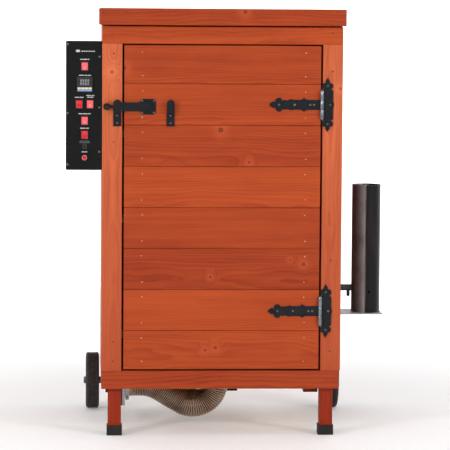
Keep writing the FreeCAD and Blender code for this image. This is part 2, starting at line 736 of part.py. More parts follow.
def smoke_outlet_pipe():
    """A pipe whose end follows the tube's side, with a fitting below it for the air line."""
    centre = ("generator_y", "outlet_z")
    pipe = tube("OutletTube", "X", "outlet_radius", "1.5", ("opening_half", "tube_x"), centre)
    around_tube = rod("OutletSaddle", "Z", "tube_radius", ("tube_bottom", "tube_top"),
                      ("tube_x", "generator_y"))
    fitting = rod("OutletFitting", "Z", "5", ("outlet_z - 27", "outlet_z - outlet_radius + 0.5"),
                  ("tube_x - 54", "generator_y"))
    return fuse("OutletPipe", cut("OutletPipeEnds", pipe, around_tube), fitting)


node("generator_shelf", generator_shelf())
node("smoke_tube", smoke_tube())
node("smoke_tube_lid", smoke_tube_lid())
node("smoke_outlet_pipe", smoke_outlet_pipe())


# Warm air: a fan under the floor blows through a hose into the heater box in the floor.

def fan_housing():
    """A square frame with a round bore, and a motor on four struts at its outer face."""
    depth = ("air_y - fan_size / 2", "air_y + fan_size / 2")
    height = ("fan_z - fan_size / 2", "fan_z + fan_size / 2")
    centre = ("air_y", "fan_z")
    block = box("FanBlock", ("fan_left", "fan_left + fan_thick"), depth, height)
    bore = rod("FanBore", "X", "fan_bore", ("fan_left - 1", "fan_left + fan_thick + 1"), centre)
    struts = [box("FanStrutAcross", ("fan_left", "fan_left + 5"),
                  ("air_y - fan_bore - 1", "air_y + fan_bore + 1"), ("fan_z - 3", "fan_z + 3")),
              box("FanStrutUp", ("fan_left", "fan_left + 5"), ("air_y - 3", "air_y + 3"),
                  ("fan_z - fan_bore - 1", "fan_z + fan_bore + 1"))]
    motor = rod("FanMotor", "X", "fan_hub", ("fan_left", "fan_left + 12"), centre)
    shaft = rod("FanShaft", "X", "2", ("fan_left + 12", "fan_left + 30"), centre)
    return fuse("FanHousing", cut("FanFrame", block, bore), *struts, motor, shaft)


def fan_rotor():
    """A hub with slanted blades, on the motor's shaft."""
    centre = ("air_y", "fan_z")
    span = ("fan_left + 15", "fan_left + 32")
    hub = rod("RotorHub", "X", "fan_hub", span, centre)
    bore = rod("RotorBore", "X", "2.25", ("fan_left + 10", "fan_left + 35"), centre)
    blades = []
    count = int(size("rotor_blades"))
    for index in range(count):
        blade = doc.addObject("Part::Box", f"Blade{index + 1}")
        bind(blade, Length="2", Width="26", Height="rotor_radius - fan_hub + 3")
        turn = Rotation(Vector(1, 0, 0), 360 * index / count) * Rotation(Vector(0, 0, 1), 50)
        reach = Rotation(Vector(1, 0, 0), 360 * index / count).multVec(Vector(0, 0, 1))
        offset = turn.multVec(Vector(-1, -13, 0)) + reach * (size("fan_hub") - 3)
        blade.Placement = Placement(Vector(), turn)
        put(blade, f"fan_left + 23.5 + ({offset.x})", f"air_y + ({offset.y})",
            f"fan_z + ({offset.z})")
        blades.append(blade)
    return cut("FanRotor", fuse("RotorWhole", hub, *blades), bore)


def fan_adapter_plate():
    """A plate over the fan's outlet, with a spigot for the hose."""
    left = "fan_left + fan_thick"
    plate = box("AdapterPlate", (left, f"{left} + adapter_thick"),
                ("air_y - fan_size / 2", "air_y + fan_size / 2"),
                ("fan_z - fan_size / 2", "fan_z + fan_size / 2"))
    spigot = rod("AdapterSpigot", "X", "spigot_radius",
                 (left, f"{left} + adapter_thick + spigot_long"), ("air_y", "fan_z"))
    bore = rod("AdapterBore", "X", "spigot_radius - hose_wall",
               (f"{left} - 1", f"{left} + adapter_thick + spigot_long + 1"), ("air_y", "fan_z"))
    return cut("FanAdapter", fuse("AdapterWhole", plate, spigot), bore)


HOSE_DROP_ANGLE = 31
HOSE_SLOPE_RUN = 76
HOSE_DROP_RADIUS, HOSE_RISE_RADIUS = 120, 72


def hose_path():
    """From the spigot: level, bending down, straight, then up to the heater box's inlet."""
    down = math.radians(HOSE_DROP_ANGLE)
    reach = -(size("fan_left") + size("fan_thick") + size("adapter_thick"))
    level_run = reach - (HOSE_DROP_RADIUS * math.sin(down) + HOSE_SLOPE_RUN * math.cos(down)
                         + HOSE_RISE_RADIUS * (math.sin(down) + 1))
    start = Vector(0, 0, 0)
    bend = Vector(level_run, 0, 0)

    def dropping(angle):
        return bend + HOSE_DROP_RADIUS * Vector(math.sin(angle), 0, math.cos(angle) - 1)

    slope_start = dropping(down)
    slope_end = slope_start + HOSE_SLOPE_RUN * Vector(math.cos(down), 0, -math.sin(down))
    middle = slope_end + HOSE_RISE_RADIUS * Vector(math.sin(down), 0, math.cos(down))

    def rising(angle):
        return middle + HOSE_RISE_RADIUS * Vector(math.sin(angle), 0, -math.cos(angle))

    rise_end = rising(math.pi / 2)
    inlet = Vector(rise_end.x, 0, size("heater_bottom") - size("fan_z"))
    return [
        Part.LineSegment(start, bend), Part.Arc(bend, dropping(down / 2), slope_start),
        Part.LineSegment(slope_start, slope_end),
        Part.Arc(slope_end, rising((math.pi / 2 - down) / 2), rise_end),
        Part.LineSegment(rise_end, inlet),
    ]


def air_hose():
    """A flexible duct, swept whole along its route between its two spigots."""
    path = Part.Wire([edge.toShape() for edge in hose_path()])
    around_x = Vector(1, 0, 0)
    swept = [path.makePipeShell([Part.Wire(Part.makeCircle(radius, Vector(), around_x))], True)
             for radius in (size("hose_radius"), size("hose_radius") - size("hose_wall"))]
    item = doc.addObject("Part::Feature", "AirHose")
    item.Shape = swept[0].cut(swept[1])
    print("hose length", round(path.Length, 1), "volume ratio",
          round(item.Shape.Volume / (path.Length * math.pi * (size("hose_radius") ** 2 - (
              size("hose_radius") - size("hose_wall")) ** 2)), 4))
    return put(item, "fan_left + fan_thick + adapter_thick", "air_y", "fan_z")


def hose_clamps():
    """Bands with a screw box, round the hose's two ends."""
    radius = "(hose_radius + clamp_room + clamp_thick)"
    first = "fan_left + fan_thick + adapter_thick + 2"
    second = "heater_bottom - clamp_wide - 1"
    bands = [tube("FanBand", "X", radius, "clamp_thick", (first, f"{first} + clamp_wide"),
                  ("air_y", "fan_z")),
             tube("HeaterBand", "Z", radius, "clamp_thick", (second, f"{second} + clamp_wide"),
                  ("0", "air_y"))]
    screw_boxes = [box("FanScrewBox", (first, f"{first} + clamp_wide"),
                       ("air_y - 9", "air_y + 9"), (f"fan_z - {radius} - 8", f"fan_z - {radius}")),
                   box("HeaterScrewBox", ("-9", "9"),
                       (f"air_y - {radius} - 8", f"air_y - {radius}"),
                       (second, f"{second} + clamp_wide"))]
    return group("HoseClamps", bands + screw_boxes)


def heater_box():
    """An open steel box with a flange on the floor and an inlet ring for the hose."""
    across = ("-heater_half", "heater_half")
    depth = ("air_y - heater_half", "air_y + heater_half")
    floor_top = "floor_bottom + floor_thick"
    outer = box("HeaterOuter", across, depth, ("heater_bottom", "heater_top"))
    flange = box("HeaterFlange", ("-heater_half - heater_flange", "heater_half + heater_flange"),
                 ("air_y - heater_half - heater_flange", "air_y + heater_half + heater_flange"),
                 (floor_top, f"{floor_top} + sheet_metal"))
    inlet = rod("HeaterInlet", "Z", "spigot_radius", ("heater_bottom - 14", "heater_bottom"),
                ("0", "air_y"))
    inner = box("HeaterInner", ("sheet_metal - heater_half", "heater_half - sheet_metal"),
                ("air_y - heater_half + sheet_metal", "air_y + heater_half - sheet_metal"),
                ("heater_bottom + sheet_metal", "heater_top + 1"))
    bore = rod("HeaterInletBore", "Z", "spigot_radius - hose_wall",
               ("heater_bottom - 15", "heater_bottom + 15"), ("0", "air_y"))
    return cut("HeaterBox", fuse("HeaterWhole", outer, flange, inlet), inner, bore)


def heating_element():
    """A ring of sheathed element between two straight terminals."""
    ring = doc.addObject("Part::Torus", "ElementRing")
    bind(ring, Radius1="element_ring", Radius2="element_radius")
    level = "(heater_bottom + heater_top) / 2"
    put(ring, "0", "air_y", level)
    terminals = [rod(f"{name}Terminal", "X", "element_radius",
                     side(sign, "element_ring", "heater_half - sheet_metal"), ("air_y", level))
                 for sign, name in ((-1, "Left"), (1, "Right"))]
    return fuse("HeatingElement", ring, *terminals)


node("fan_housing", fan_housing())
node("fan_rotor", fan_rotor())
node("fan_adapter_plate", fan_adapter_plate())
node("air_hose", air_hose())
node("hose_clamps", hose_clamps())
node("heater_box", heater_box())
node("heating_element", heating_element())


# Wheels on one axle, which goes through the rear posts and their brackets.

def axle():
    """A shaft with a collar inside each wheel and a cap outside it."""
    centre = ("axle_y", "axle_z")
    shaft = rod("AxleShaft", "X", "axle_radius", ("-axle_reach", "axle_reach"), centre)
    ends = []
    for sign, name in ((-1, "Left"), (1, "Right")):
        ends.append(rod(f"{name}Collar", "X", "axle_radius + 5",
                        side(sign, "post_outer + bracket_thick", "wheel_inner - 0.4"), centre))
        ends.append(rod(f"{name}Cap", "X", "cap_radius",
                        side(sign, "wheel_inner + wheel_wide + 0.4", "axle_reach"), centre))
    return fuse("Axle", shaft, *ends)


def channel(name, outer, inner, hole_ends):
    """A strap bent into a U, with the axle's hole through it."""
    hole = rod(name + "Hole", "X", "axle_radius + 0.05", hole_ends, ("axle_y", "axle_z"))
    return cut(name, box(name + "Outer", *outer), box(name + "Inner", *inner), hole)


def axle_brackets():
    brackets = []
    depth = ("axle_y - post / 2", "axle_y + post / 2")
    top = "axle_z + 24"
    for sign, name in ((-1, "Left"), (1, "Right")):
        brackets.append(channel(
            f"{name}Bracket",
            (side(sign, "post_outer - post - bracket_thick", "post_outer + bracket_thick"), depth,
             ("rear_post_bottom - bracket_thick", top)),
            (side(sign, "post_outer - post", "post_outer"), depth, ("rear_post_bottom", top)),
            side(sign, "opening_half - board", "wheel_inner")))
    across = ("centre_bracket_x", "centre_bracket_x + centre_bracket_wide")
    brackets.append(channel(
        "CentreBracket",
        (across, ("axle_y - 12", "axle_y + 12"), ("rear_post_bottom", "floor_bottom")),
        (across, ("axle_y - 12 + bracket_thick", "axle_y + 12 - bracket_thick"),
         ("rear_post_bottom + bracket_thick", "floor_bottom")),
        ("centre_bracket_x - 1", "centre_bracket_x + centre_bracket_wide + 1")))
    return group("AxleBrackets", brackets)


def rim_outline():
    """Half a section of the rim, with the axle along the x axis."""
    wide, rim, hub = size("wheel_wide"), size("rim_radius"), size("hub_radius")
    bore = size("axle_radius") + 0.05
    web, lip, skirt = 4, 2, 5
    middle = wide / 2
    return [
        (wide, bore), (wide, hub), (middle + web, hub), (middle + web, rim - skirt),
        (wide - lip, rim - skirt), (wide - lip, rim), (lip, rim), (lip, rim - skirt),
        (middle - web, rim - skirt), (middle - web, hub), (0, hub), (0, bore),
    ]


TREAD_GROOVES = 5
GROOVE_WIDE, GROOVE_DEEP = 2.2, 2


def tyre_outline():
    """A solid tyre with round shoulders and grooves round its tread."""
    wide, outer, inner = size("wheel_wide"), size("wheel_radius"), size("rim_radius")
    shoulder = 9
    bulge = shoulder * (1 - math.sqrt(0.5))
    steps = [(wide - 2, inner), (wide, inner + 6), (wide, outer - shoulder),
             ((wide - bulge, outer - bulge), (wide - shoulder, outer))]
    tread = wide - 2 * shoulder
    for index in range(TREAD_GROOVES):
        middle = wide - shoulder - tread * (index + 0.5) / TREAD_GROOVES
        steps += [(middle + GROOVE_WIDE / 2, outer), (middle + GROOVE_WIDE / 2, outer - GROOVE_DEEP),
                  (middle - GROOVE_WIDE / 2, outer - GROOVE_DEEP), (middle - GROOVE_WIDE / 2, outer)]
    steps += [(shoulder, outer), ((bulge, outer - bulge), (0, outer - shoulder)),
              (0, inner + 6), (2, inner)]
    return steps


node("axle", axle())
node("axle_brackets", axle_brackets())
for wheel_name, start in (("left", "-wheel_inner - wheel_wide"), ("right", "wheel_inner")):
    wheel_place = (start, "axle_y", "axle_z")
    title = wheel_name.title()
    node(f"{wheel_name}_wheel_rim", turned(title + "Rim", wheel_place, "H_Axis", rim_outline()))
    node(f"{wheel_name}_tyre", turned(title + "Tyre", wheel_place, "H_Axis", tyre_outline()))


# Inside: runners on the posts, a drip tray and a wire rack. On the back: the smoke vent.

def rack_runners():
    runners = []
    for top in ("tray_z", "rack_z", "top_runner_z"):
        for sign, name in ((-1, "Left"), (1, "Right")):
            runners.append(box(f"{name}Runner_{top}", side(sign, "opening_half - runner", "opening_half"),
                               ("runner_front", "runner_back"), (f"{top} - runner", top)))
    return group("RackRunners", runners)


def wire_rack():
    """A rim of thick wire with thin wires across it, lying on its runners."""
    level = "rack_z + rack_rim"
    low, high = "rack_front + rack_rim", "rack_back - rack_rim"
    edge = "rack_half - rack_rim"
    wires = [rod("RackFront", "X", "rack_rim", (f"-({edge})", edge), (low, level)),
             rod("RackBack", "X", "rack_rim", (f"-({edge})", edge), (high, level)),
             rod("RackLeft", "Y", "rack_rim", (low, high), (f"-({edge})", level)),
             rod("RackRight", "Y", "rack_rim", (low, high), (edge, level))]
    count = int(size("rack_wires"))
    for index in range(count):
        across = f"-({edge}) + {index + 1} * 2 * ({edge}) / (rack_wires + 1)"
        wires.append(rod(f"RackWire{index + 1}", "Y", "rack_wire", (low, high), (across, level)))
    return fuse("WireRack", *wires)


def drip_tray():
    depth = ("rack_front", "rack_back")
    outer = box("TrayOuter", ("-tray_half", "tray_half"), depth, ("tray_z", "tray_z + tray_deep"))
    inner = box("TrayInner", ("sheet_metal - tray_half", "tray_half - sheet_metal"),
                ("rack_front + sheet_metal", "rack_back - sheet_metal"),
                ("tray_z + sheet_metal", "tray_z + tray_deep + 1"))
    return cut("DripTray", outer, inner)


def vent_frame():
    """A plate round the vent, with the damper's pivot above the opening."""
    face = ("cabinet_depth", "cabinet_depth + sheet_metal")
    plate = box("VentPlate", ("-vent_plate", "vent_plate"), face,
                ("vent_z - vent_plate", "vent_z + vent_plate + 6"))
    opening = rod("VentOpening", "Y", "vent_bore", ("cabinet_depth - 1", "cabinet_depth + 3"),
                  ("0", "vent_z"))
    pivot = rod("VentPivot", "Y", "3", ("cabinet_depth", "cabinet_depth + 6"),
                ("0", "vent_z + damper_arm"))
    return fuse("VentFrame", cut("VentPlateOpen", plate, opening), pivot)


def vent_damper():
    """A disc that hangs over the vent and swings to one side."""
    face = ("cabinet_depth + sheet_metal + 0.3", "cabinet_depth + sheet_metal + 2.3")
    disc = rod("DamperDisc", "Y", "damper_radius", face, ("0", "vent_z"))
    arm = box("DamperArm", ("-9", "9"), face, ("vent_z", "vent_z + damper_arm"))
    eye = rod("DamperEye", "Y", "9", face, ("0", "vent_z + damper_arm"))
    grip = rod("DamperGrip", "Y", "6", (face[0], "cabinet_depth + 16"), ("0", "vent_z"))
    bore = rod("DamperBore", "Y", "3.05", ("cabinet_depth - 1", "cabinet_depth + 9"),
               ("0", "vent_z + damper_arm"))
    return cut("VentDamper", fuse("DamperWhole", disc, arm, eye, grip), bore)


node("rack_runners", rack_runners())
node("wire_rack", wire_rack())
node("drip_tray", drip_tray())
node("vent_frame", vent_frame())
node("vent_damper", vent_damper())


# Every item is worked out and checked before any sub-part is written.

def check_and_write():
    doc.recompute()
    for item in doc.Objects:
        if "Invalid" in item.State or "Error" in item.State:
            raise SystemExit(f"{item.Label} failed: {item.State}")
    for item in NODES:
        if item.Shape.isNull() or not item.Shape.isValid() or not item.Shape.Solids:
            raise SystemExit(f"{item.Label} has no sound shape")
    os.makedirs("parts", exist_ok=True)
    for item in NODES:
        item.Shape.exportStep(f"parts/{item.Label}.step")
    print(len(NODES), "sub-parts written")


check_and_write()
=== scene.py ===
import math
import random

import bpy
from mathutils import Matrix, Vector

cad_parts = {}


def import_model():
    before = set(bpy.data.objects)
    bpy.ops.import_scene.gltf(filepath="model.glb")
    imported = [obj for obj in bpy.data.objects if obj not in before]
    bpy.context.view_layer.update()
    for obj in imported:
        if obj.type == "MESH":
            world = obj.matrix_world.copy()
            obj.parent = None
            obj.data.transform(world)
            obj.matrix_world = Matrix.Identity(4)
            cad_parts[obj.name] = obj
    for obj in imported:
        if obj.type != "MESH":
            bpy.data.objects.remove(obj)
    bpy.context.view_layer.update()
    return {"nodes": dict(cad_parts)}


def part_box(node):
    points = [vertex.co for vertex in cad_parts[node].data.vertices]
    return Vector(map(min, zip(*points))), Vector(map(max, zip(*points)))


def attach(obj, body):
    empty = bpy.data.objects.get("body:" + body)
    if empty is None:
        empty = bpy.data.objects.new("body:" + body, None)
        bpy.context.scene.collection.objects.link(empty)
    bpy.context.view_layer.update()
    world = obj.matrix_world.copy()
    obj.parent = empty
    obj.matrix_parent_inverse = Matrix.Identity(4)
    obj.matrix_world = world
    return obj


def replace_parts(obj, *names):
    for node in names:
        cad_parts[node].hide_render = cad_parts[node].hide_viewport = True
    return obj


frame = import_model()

# The looks of a wooden cabinet smoker: stained boards, black ironwork, a control panel, a
# smoke-stained tube and a corrugated air duct, in metres and in the frame's own axes.

CLOSE = 0.0002


# --- node materials ---

class Shader:
    """A material's node tree, with a short call for each kind of node used here."""

    def __init__(self, name, roughness=0.5, metallic=0.0, **sockets):
        self.material = bpy.data.materials.new(name)
        self.material.use_nodes = True
        self.tree = self.material.node_tree
        self.surface = self.tree.nodes["Principled BSDF"]
        self.set(Roughness=roughness, Metallic=metallic, **sockets)

    def set(self, **sockets):
        for name, value in sockets.items():
            self.plug(self.surface.inputs[name.replace("_", " ")], value)

    def plug(self, socket, value):
        if isinstance(value, bpy.types.NodeSocket):
            self.tree.links.new(value, socket)
        elif value is not None:
            socket.default_value = value

    def node(self, kind, settings=None, **sockets):
        made = self.tree.nodes.new("ShaderNode" + kind)
        for name, value in (settings or {}).items():
            setattr(made, name, value)
        for name, value in sockets.items():
            self.plug(made.inputs[name.replace("_", " ")], value)
        return made

    def math(self, operation, *values):
        made = self.node("Math", {"operation": operation})
        for socket, value in zip(made.inputs, values):
            self.plug(socket, value)
        return made.outputs[0]

    def plus(self, *values):
        return self.math("ADD", *values)

    def times(self, *values):
        return self.math("MULTIPLY", *values)

    def over(self, *values):
        return self.math("DIVIDE", *values)

    def vector(self, operation, *values):
        made = self.node("VectorMath", {"operation": operation})
        for socket, value in zip(made.inputs, values):
            self.plug(socket, value)
        return made.outputs["Value" if operation in ("LENGTH", "DISTANCE") else "Vector"]

    def place(self):
        """Where a point is on the object at rest, in metres."""
        return self.node("TexCoord").outputs["Object"]

    def attribute(self, name):
        return self.node("Attribute", {"attribute_name": name}).outputs["Vector"]

    def split(self, vector):
        return self.node("SeparateXYZ", Vector=vector).outputs

    def join(self, x, y, z):
        return self.node("CombineXYZ", X=x, Y=y, Z=z).outputs[0]

    def noise(self, vector, stretch, detail=3.0, roughness=0.55):
        """Noise with the vector stretched by one number, or by one for each axis."""
        stretch = stretch if isinstance(stretch, tuple) else (stretch,) * 3
        scaled = self.vector("MULTIPLY", vector, stretch)
        return self.node("TexNoise", Vector=scaled, Scale=1.0, Detail=detail,
                         Roughness=roughness).outputs["Fac"]

    def span(self, value, low, high, to_low=0.0, to_high=1.0):
        made = self.node("MapRange", {"clamp": True}, Value=value)
        for name, number in (("From Min", low), ("From Max", high),
                             ("To Min", to_low), ("To Max", to_high)):
            made.inputs[name].default_value = number
        return made.outputs[0]

    def ramp(self, factor, stops):
        made = self.node("ValToRGB", Fac=factor)
        points = made.color_ramp.elements
        while len(points) < len(stops):
            points.new(0.5)
        for point, (position, colour) in zip(points, stops):
            point.position = position
            point.color = (*colour, 1.0)
        return made.outputs[0]

    def mix(self, factor, first, second, blend="MIX"):
        made = self.node("Mix", {"data_type": "RGBA", "blend_type": blend})
        self.plug(made.inputs["Factor"], factor)
        for socket, value in zip((made.inputs[6], made.inputs[7]), (first, second)):
            self.plug(socket, (*value, 1.0) if isinstance(value, tuple) else value)
        return made.outputs[2]

    def bump(self, height, distance, strength=1.0):
        made = self.node("Bump", Height=height)
        made.inputs["Strength"].default_value = strength
        made.inputs["Distance"].default_value = distance
        self.set(Normal=made.outputs[0])


def rgb(red, green, blue):
    """A linear colour from its 0 to 255 screen values."""
    def linear(value):
        value /= 255
        return value / 12.92 if value <= 0.04045 else ((value + 0.055) / 1.055) ** 2.4
    return (linear(red), linear(green), linear(blue))


KNOT_CELLS = (2.3, 6.5, 1.0)
KNOT_REACH = 3.4


def swirl_round(s, ratio):
    """How strongly the grain bends round a knot, at a distance given in the knot's radii."""
    near = s.over(ratio, KNOT_REACH)
    return s.math("EXPONENT", s.times(s.times(near, near), -1.0))


def wood(name, early, late, knot, sheen=0.48, painted_foot_shade=0.0):
    """Stained softwood. The grain attribute holds a point's place along, across and through its
    board, measured from the tree's heart, and the tone attribute holds the board's own shade. The
    knot attribute holds the place along and across of the board's own knot, and its radius.
    The last argument is how far painted shade darkens the wood towards the ground, where less light
    reaches."""
    s = Shader(name, Specular_IOR_Level=0.2)
    grain = s.attribute("grain")
    tone = s.split(s.attribute("tone"))
    along, across, through = s.split(grain)

    wander = s.noise(grain, (1.7, 5.0, 5.0), 3.0)
    ripple = s.noise(grain, (9.0, 34.0, 34.0), 2.0)
    heart = s.vector("LENGTH", s.join(0.0, across, through))

    spot = s.join(along, across, 0.0)
    knots = s.node("TexVoronoi", {"voronoi_dimensions": "2D"},
                   Vector=s.vector("MULTIPLY", spot, KNOT_CELLS), Scale=1.0, Randomness=0.8)
    away = s.vector("DISTANCE", spot, s.vector("DIVIDE", knots.outputs["Position"], KNOT_CELLS))
    chance = s.split(knots.outputs["Color"])
    present = s.math("GREATER_THAN", chance[0], 0.52)
    reach = s.span(chance[1], 0.0, 1.0, 0.0035, 0.0085)
    ratio = s.over(away, reach)

    own_along, own_across, own_radius = s.split(s.attribute("knot"))
    own_away = s.vector("DISTANCE", spot, s.join(own_along, own_across, 0.0))
    own_ratio = s.over(own_away, s.math("MAXIMUM", own_radius, 0.0001))
    swirl = s.math("MAXIMUM", s.times(swirl_round(s, ratio), present), swirl_round(s, own_ratio))

    rings = s.plus(s.times(heart, 210.0), s.times(wander, 7.0))
    rings = s.plus(s.plus(rings, s.times(ripple, 0.9)), s.times(swirl, 5.0))
    ring = s.math("FRACT", rings)
    latewood = s.times(s.span(ring, 0.25, 0.9), s.span(ring, 0.92, 1.0, 1.0, 0.0))

    fibre = s.noise(grain, (16.0, 620.0, 620.0), 3.0, 0.6)
    streak = s.noise(grain, (2.6, 60.0, 60.0), 3.0, 0.6)
    blotch = s.noise(grain, (4.5, 11.0, 11.0), 2.0)

    depth = s.times(latewood, 0.272)
    for part in (s.times(s.span(streak, 0.3, 0.72), 0.336), s.times(s.span(fibre, 0.25, 0.8), 0.16),
                 s.times(s.span(blotch, 0.25, 0.75), 0.22), s.span(tone[0], 0.0, 1.0, -0.2, 0.2)):
        depth = s.plus(depth, part)
    colour = s.ramp(depth, [(0.0, early), (1.0, late)])

    level = s.split(s.place())[2]
    # Painted shade: lower down, the colour darkens towards the latewood colour, most at the foot,
    # where less light reaches.
    colour = s.mix(s.span(level, 0.2, 0.95, painted_foot_shade, 0.0), colour, late)
    # Painted highlight: a paler colour round each knot, where its grain swirls, stands in for
    # glossy lamp light on the stain.
    pale = tuple(min(1.0, 1.3 * part + 0.02) for part in early)
    colour = s.mix(s.times(swirl, 0.38), colour, pale)
    core = s.times(s.math("LESS_THAN", away, reach), present)
    own_core = s.math("LESS_THAN", own_ratio, 1.0)
    edge = s.math("MAXIMUM", s.times(s.span(ratio, 0.45, 1.05), core),
                  s.times(s.span(own_ratio, 0.45, 1.05), own_core))
    colour = s.mix(s.times(s.math("MAXIMUM", core, own_core), 0.5), colour, knot)
    colour = s.mix(s.times(edge, 0.6), colour, tuple(0.35 * part for part in knot))
    s.set(Base_Color=colour, Roughness=s.span(s.plus(latewood, fibre), 0.0, 2.0,
                                              sheen + 0.12, sheen - 0.06))
    height = s.plus(s.times(latewood, 0.45), s.times(fibre, 0.55))
    height = s.math("SUBTRACT", height, s.times(edge, 0.7))
    s.bump(height, 0.0005, 0.55)
    return s.material


def black_iron(name):
    """Black powder coat on bent plate, a little grey and smooth where hands and edges wear it."""
    s = Shader(name, Specular_IOR_Level=0.24)
    place = s.place()
    pebble = s.noise(place, 1500.0, 2.0)
    cloud = s.noise(place, 38.0, 4.0)
    colour = s.mix(s.span(cloud, 0.35, 0.75), rgb(17, 21, 26), rgb(8, 10, 13))
    s.set(Base_Color=colour, Roughness=s.span(cloud, 0.3, 0.7, 0.3, 0.46))
    s.bump(pebble, 0.00012, 0.5)
    return s.material


def panel_black(name):
    """Fine matt powder coat on flat sheet, with faint dust."""
    s = Shader(name, Specular_IOR_Level=0.16)
    place = s.place()
    pebble = s.noise(place, 2200.0, 2.0)
    dust = s.noise(place, (11.0, 11.0, 19.0), 5.0, 0.65)
    colour = s.mix(s.span(dust, 0.45, 0.85), rgb(8, 8, 9), rgb(15, 15, 16))
    s.set(Base_Color=colour, Roughness=s.span(dust, 0.3, 0.8, 0.5, 0.66))
    s.bump(pebble, 0.00008, 0.45)
    return s.material


def brushed_metal(name, light, dark, grain, rough):
    """Sheet or bar metal with fine scratches one way and cloudy handling marks."""
    s = Shader(name, metallic=1.0)
    place = s.place()
    scratch = s.noise(place, grain, 3.0, 0.6)
    cloud = s.noise(place, (14.0, 14.0, 9.0), 4.0, 0.6)
    colour = s.mix(s.span(cloud, 0.3, 0.75), light, dark)
    s.set(Base_Color=colour, Roughness=s.span(s.plus(scratch, cloud), 0.6, 1.4, *rough))
    s.bump(scratch, 0.00006, 0.35)
    return s.material


def smoked_steel_with_painted_reflection(name, tube_box):
    """Steel pipe darkened by smoke, with a painted reflection: a paler band painted along its front
    left side.
    """
    s = Shader(name, metallic=0.2, Specular_IOR_Level=0.15)
    place = s.place()
    across = s.span(s.split(place)[0], tube_box[0].x, tube_box[1].x)
    scratch = s.noise(place, (700.0, 700.0, 7.0), 3.0, 0.6)
    cloud = s.noise(place, (30.0, 30.0, 14.0), 5.0, 0.65)
    drip = s.noise(place, (90.0, 90.0, 6.0), 4.0, 0.6)
    # Painted reflection: a paler grey-green band across the left part, brightest just before its
    # edge as a painted highlight line, stands in for lamp light reflected there; the green offsets
    # the red bounce light from the wood.
    band = s.ramp(s.plus(across, s.span(drip, 0.3, 0.7, -0.02, 0.02)),
                  [(0.0, rgb(62, 68, 71)), (0.2, rgb(100, 106, 108)), (0.4, rgb(152, 150, 149)),
                   (0.46, rgb(30, 28, 30)), (1.0, rgb(17, 16, 19))])
    colour = s.mix(s.span(cloud, 0.4, 0.75, 0.0, 0.55), band, rgb(22, 20, 20))
    colour = s.mix(s.span(drip, 0.55, 0.75, 0.0, 0.35), colour, rgb(70, 50, 36))
    s.set(Base_Color=colour, Roughness=s.span(s.plus(scratch, cloud), 0.6, 1.4, 0.24, 0.48))
    s.bump(scratch, 0.00006, 0.35)
    return s.material


def plastic(name, colour, shade, rough=(0.3, 0.42), pebble=0.3, **sockets):
    """Moulded plastic with a fine texture and slight wear."""
    s = Shader(name, **sockets)
    place = s.place()
    fine = s.noise(place, 1800.0, 2.0)
    cloud = s.noise(place, 90.0, 3.0)
    s.set(Base_Color=s.mix(s.span(cloud, 0.3, 0.7), colour, shade),
          Roughness=s.span(cloud, 0.3, 0.7, *rough))
    s.bump(fine, 0.00006, pebble)
    return s.material


def rubber(name, colour, dust_colour):
    """Matt rubber with dust in its hollows and a mottled, scuffed surface."""
    s = Shader(name, Specular_IOR_Level=0.3)
    place = s.place()
    scuff = s.noise(place, (55.0, 160.0, 160.0), 5.0, 0.65)
    fine = s.noise(place, 900.0, 3.0)
    s.set(Base_Color=s.mix(s.span(scuff, 0.45, 0.8), colour, dust_colour),
          Roughness=s.span(scuff, 0.3, 0.8, 0.62, 0.86))
    s.bump(s.plus(fine, scuff), 0.0003, 0.5)
    return s.material


# --- mesh building ---

class Skin:
    """Points and faces that become one piece."""

    def __init__(self):
        self.points, self.faces = [], []

    def loft(self, rings, closed_ends=True):
        """Join rings of equal counts into a skin."""
        start, count = len(self.points), len(rings[0])
        for ring in rings:
            self.points.extend(ring)
        for index in range(len(rings) - 1):
            low = start + index * count
            for corner in range(count):
                after = (corner + 1) % count
                self.faces.append((low + corner, low + after, low + count + after,
                                   low + count + corner))
        if closed_ends:
            last = len(self.points) - count
            self.faces.append(tuple(reversed(range(start, start + count))))
            self.faces.append(tuple(range(last, last + count)))

    def thing(self, name):
        """A plain mesh object, linked to the scene."""
        mesh = bpy.data.meshes.new(name)
        mesh.from_pydata([tuple(point) for point in self.points], [], self.faces)
        mesh.update()
        made = bpy.data.objects.new(name, mesh)
        bpy.context.scene.collection.objects.link(made)
        return made

    def piece(self, name, material, body, slot, smooth_angle=35):
        """A piece that rides on a body, smooth but for its sharp edges."""
        made = self.thing(name)
        made.data.materials.append(material)
        made.data.shade_smooth()
        made.data.set_sharp_from_angle(angle=math.radians(smooth_angle))
        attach(made, body)
        return made


def turns(count):
    """Equal turns round a full circle."""
    return (2 * math.pi * step / count for step in range(count))


def lathe_rings(profile, centre, axis, segments=64):
    """Rings about an axis through centre, from a profile of (distance along, radius)."""
    axis = Vector(axis).normalized()
    side = axis.orthogonal().normalized()
    other = axis.cross(side)
    rings = []
    for distance, radius in profile:
        middle = Vector(centre) + axis * distance
        rings.append([middle + radius * (math.cos(turn) * side + math.sin(turn) * other)
                      for turn in turns(segments)])
    return rings


def lathe(name, profile, centre, axis, material, body, slot, segments=64, closed_ends=True):
    skin = Skin()
    skin.loft(lathe_rings(profile, centre, axis, segments), closed_ends)
    return skin.piece(name, material, body, slot)


def softened(piece, width):
    """Round a piece's sharp edges, which real sheet, bar and mouldings never keep."""
    bevel = piece.modifiers.new("Softened", "BEVEL")
    bevel.width, bevel.segments = width, 2
    bevel.limit_method, bevel.angle_limit = "ANGLE", math.radians(35)
    bevel.harden_normals = False
    return piece


# --- boards ---

ARRIS_STEPS = 3


def square_section(wide, thick, arris):
    """A board's section with rounded arrises, across from 0 to wide, through from 0 to thick."""
    section = []
    corners = ((wide - arris, arris, -90), (wide - arris, thick - arris, 0),
               (arris, thick - arris, 90), (arris, arris, 180))
    for across, through, start in corners:
        for step in range(ARRIS_STEPS + 1):
            turn = math.radians(start + 90 * step / ARRIS_STEPS)
            section.append((across + arris * math.cos(turn), through + arris * math.sin(turn)))
    return section


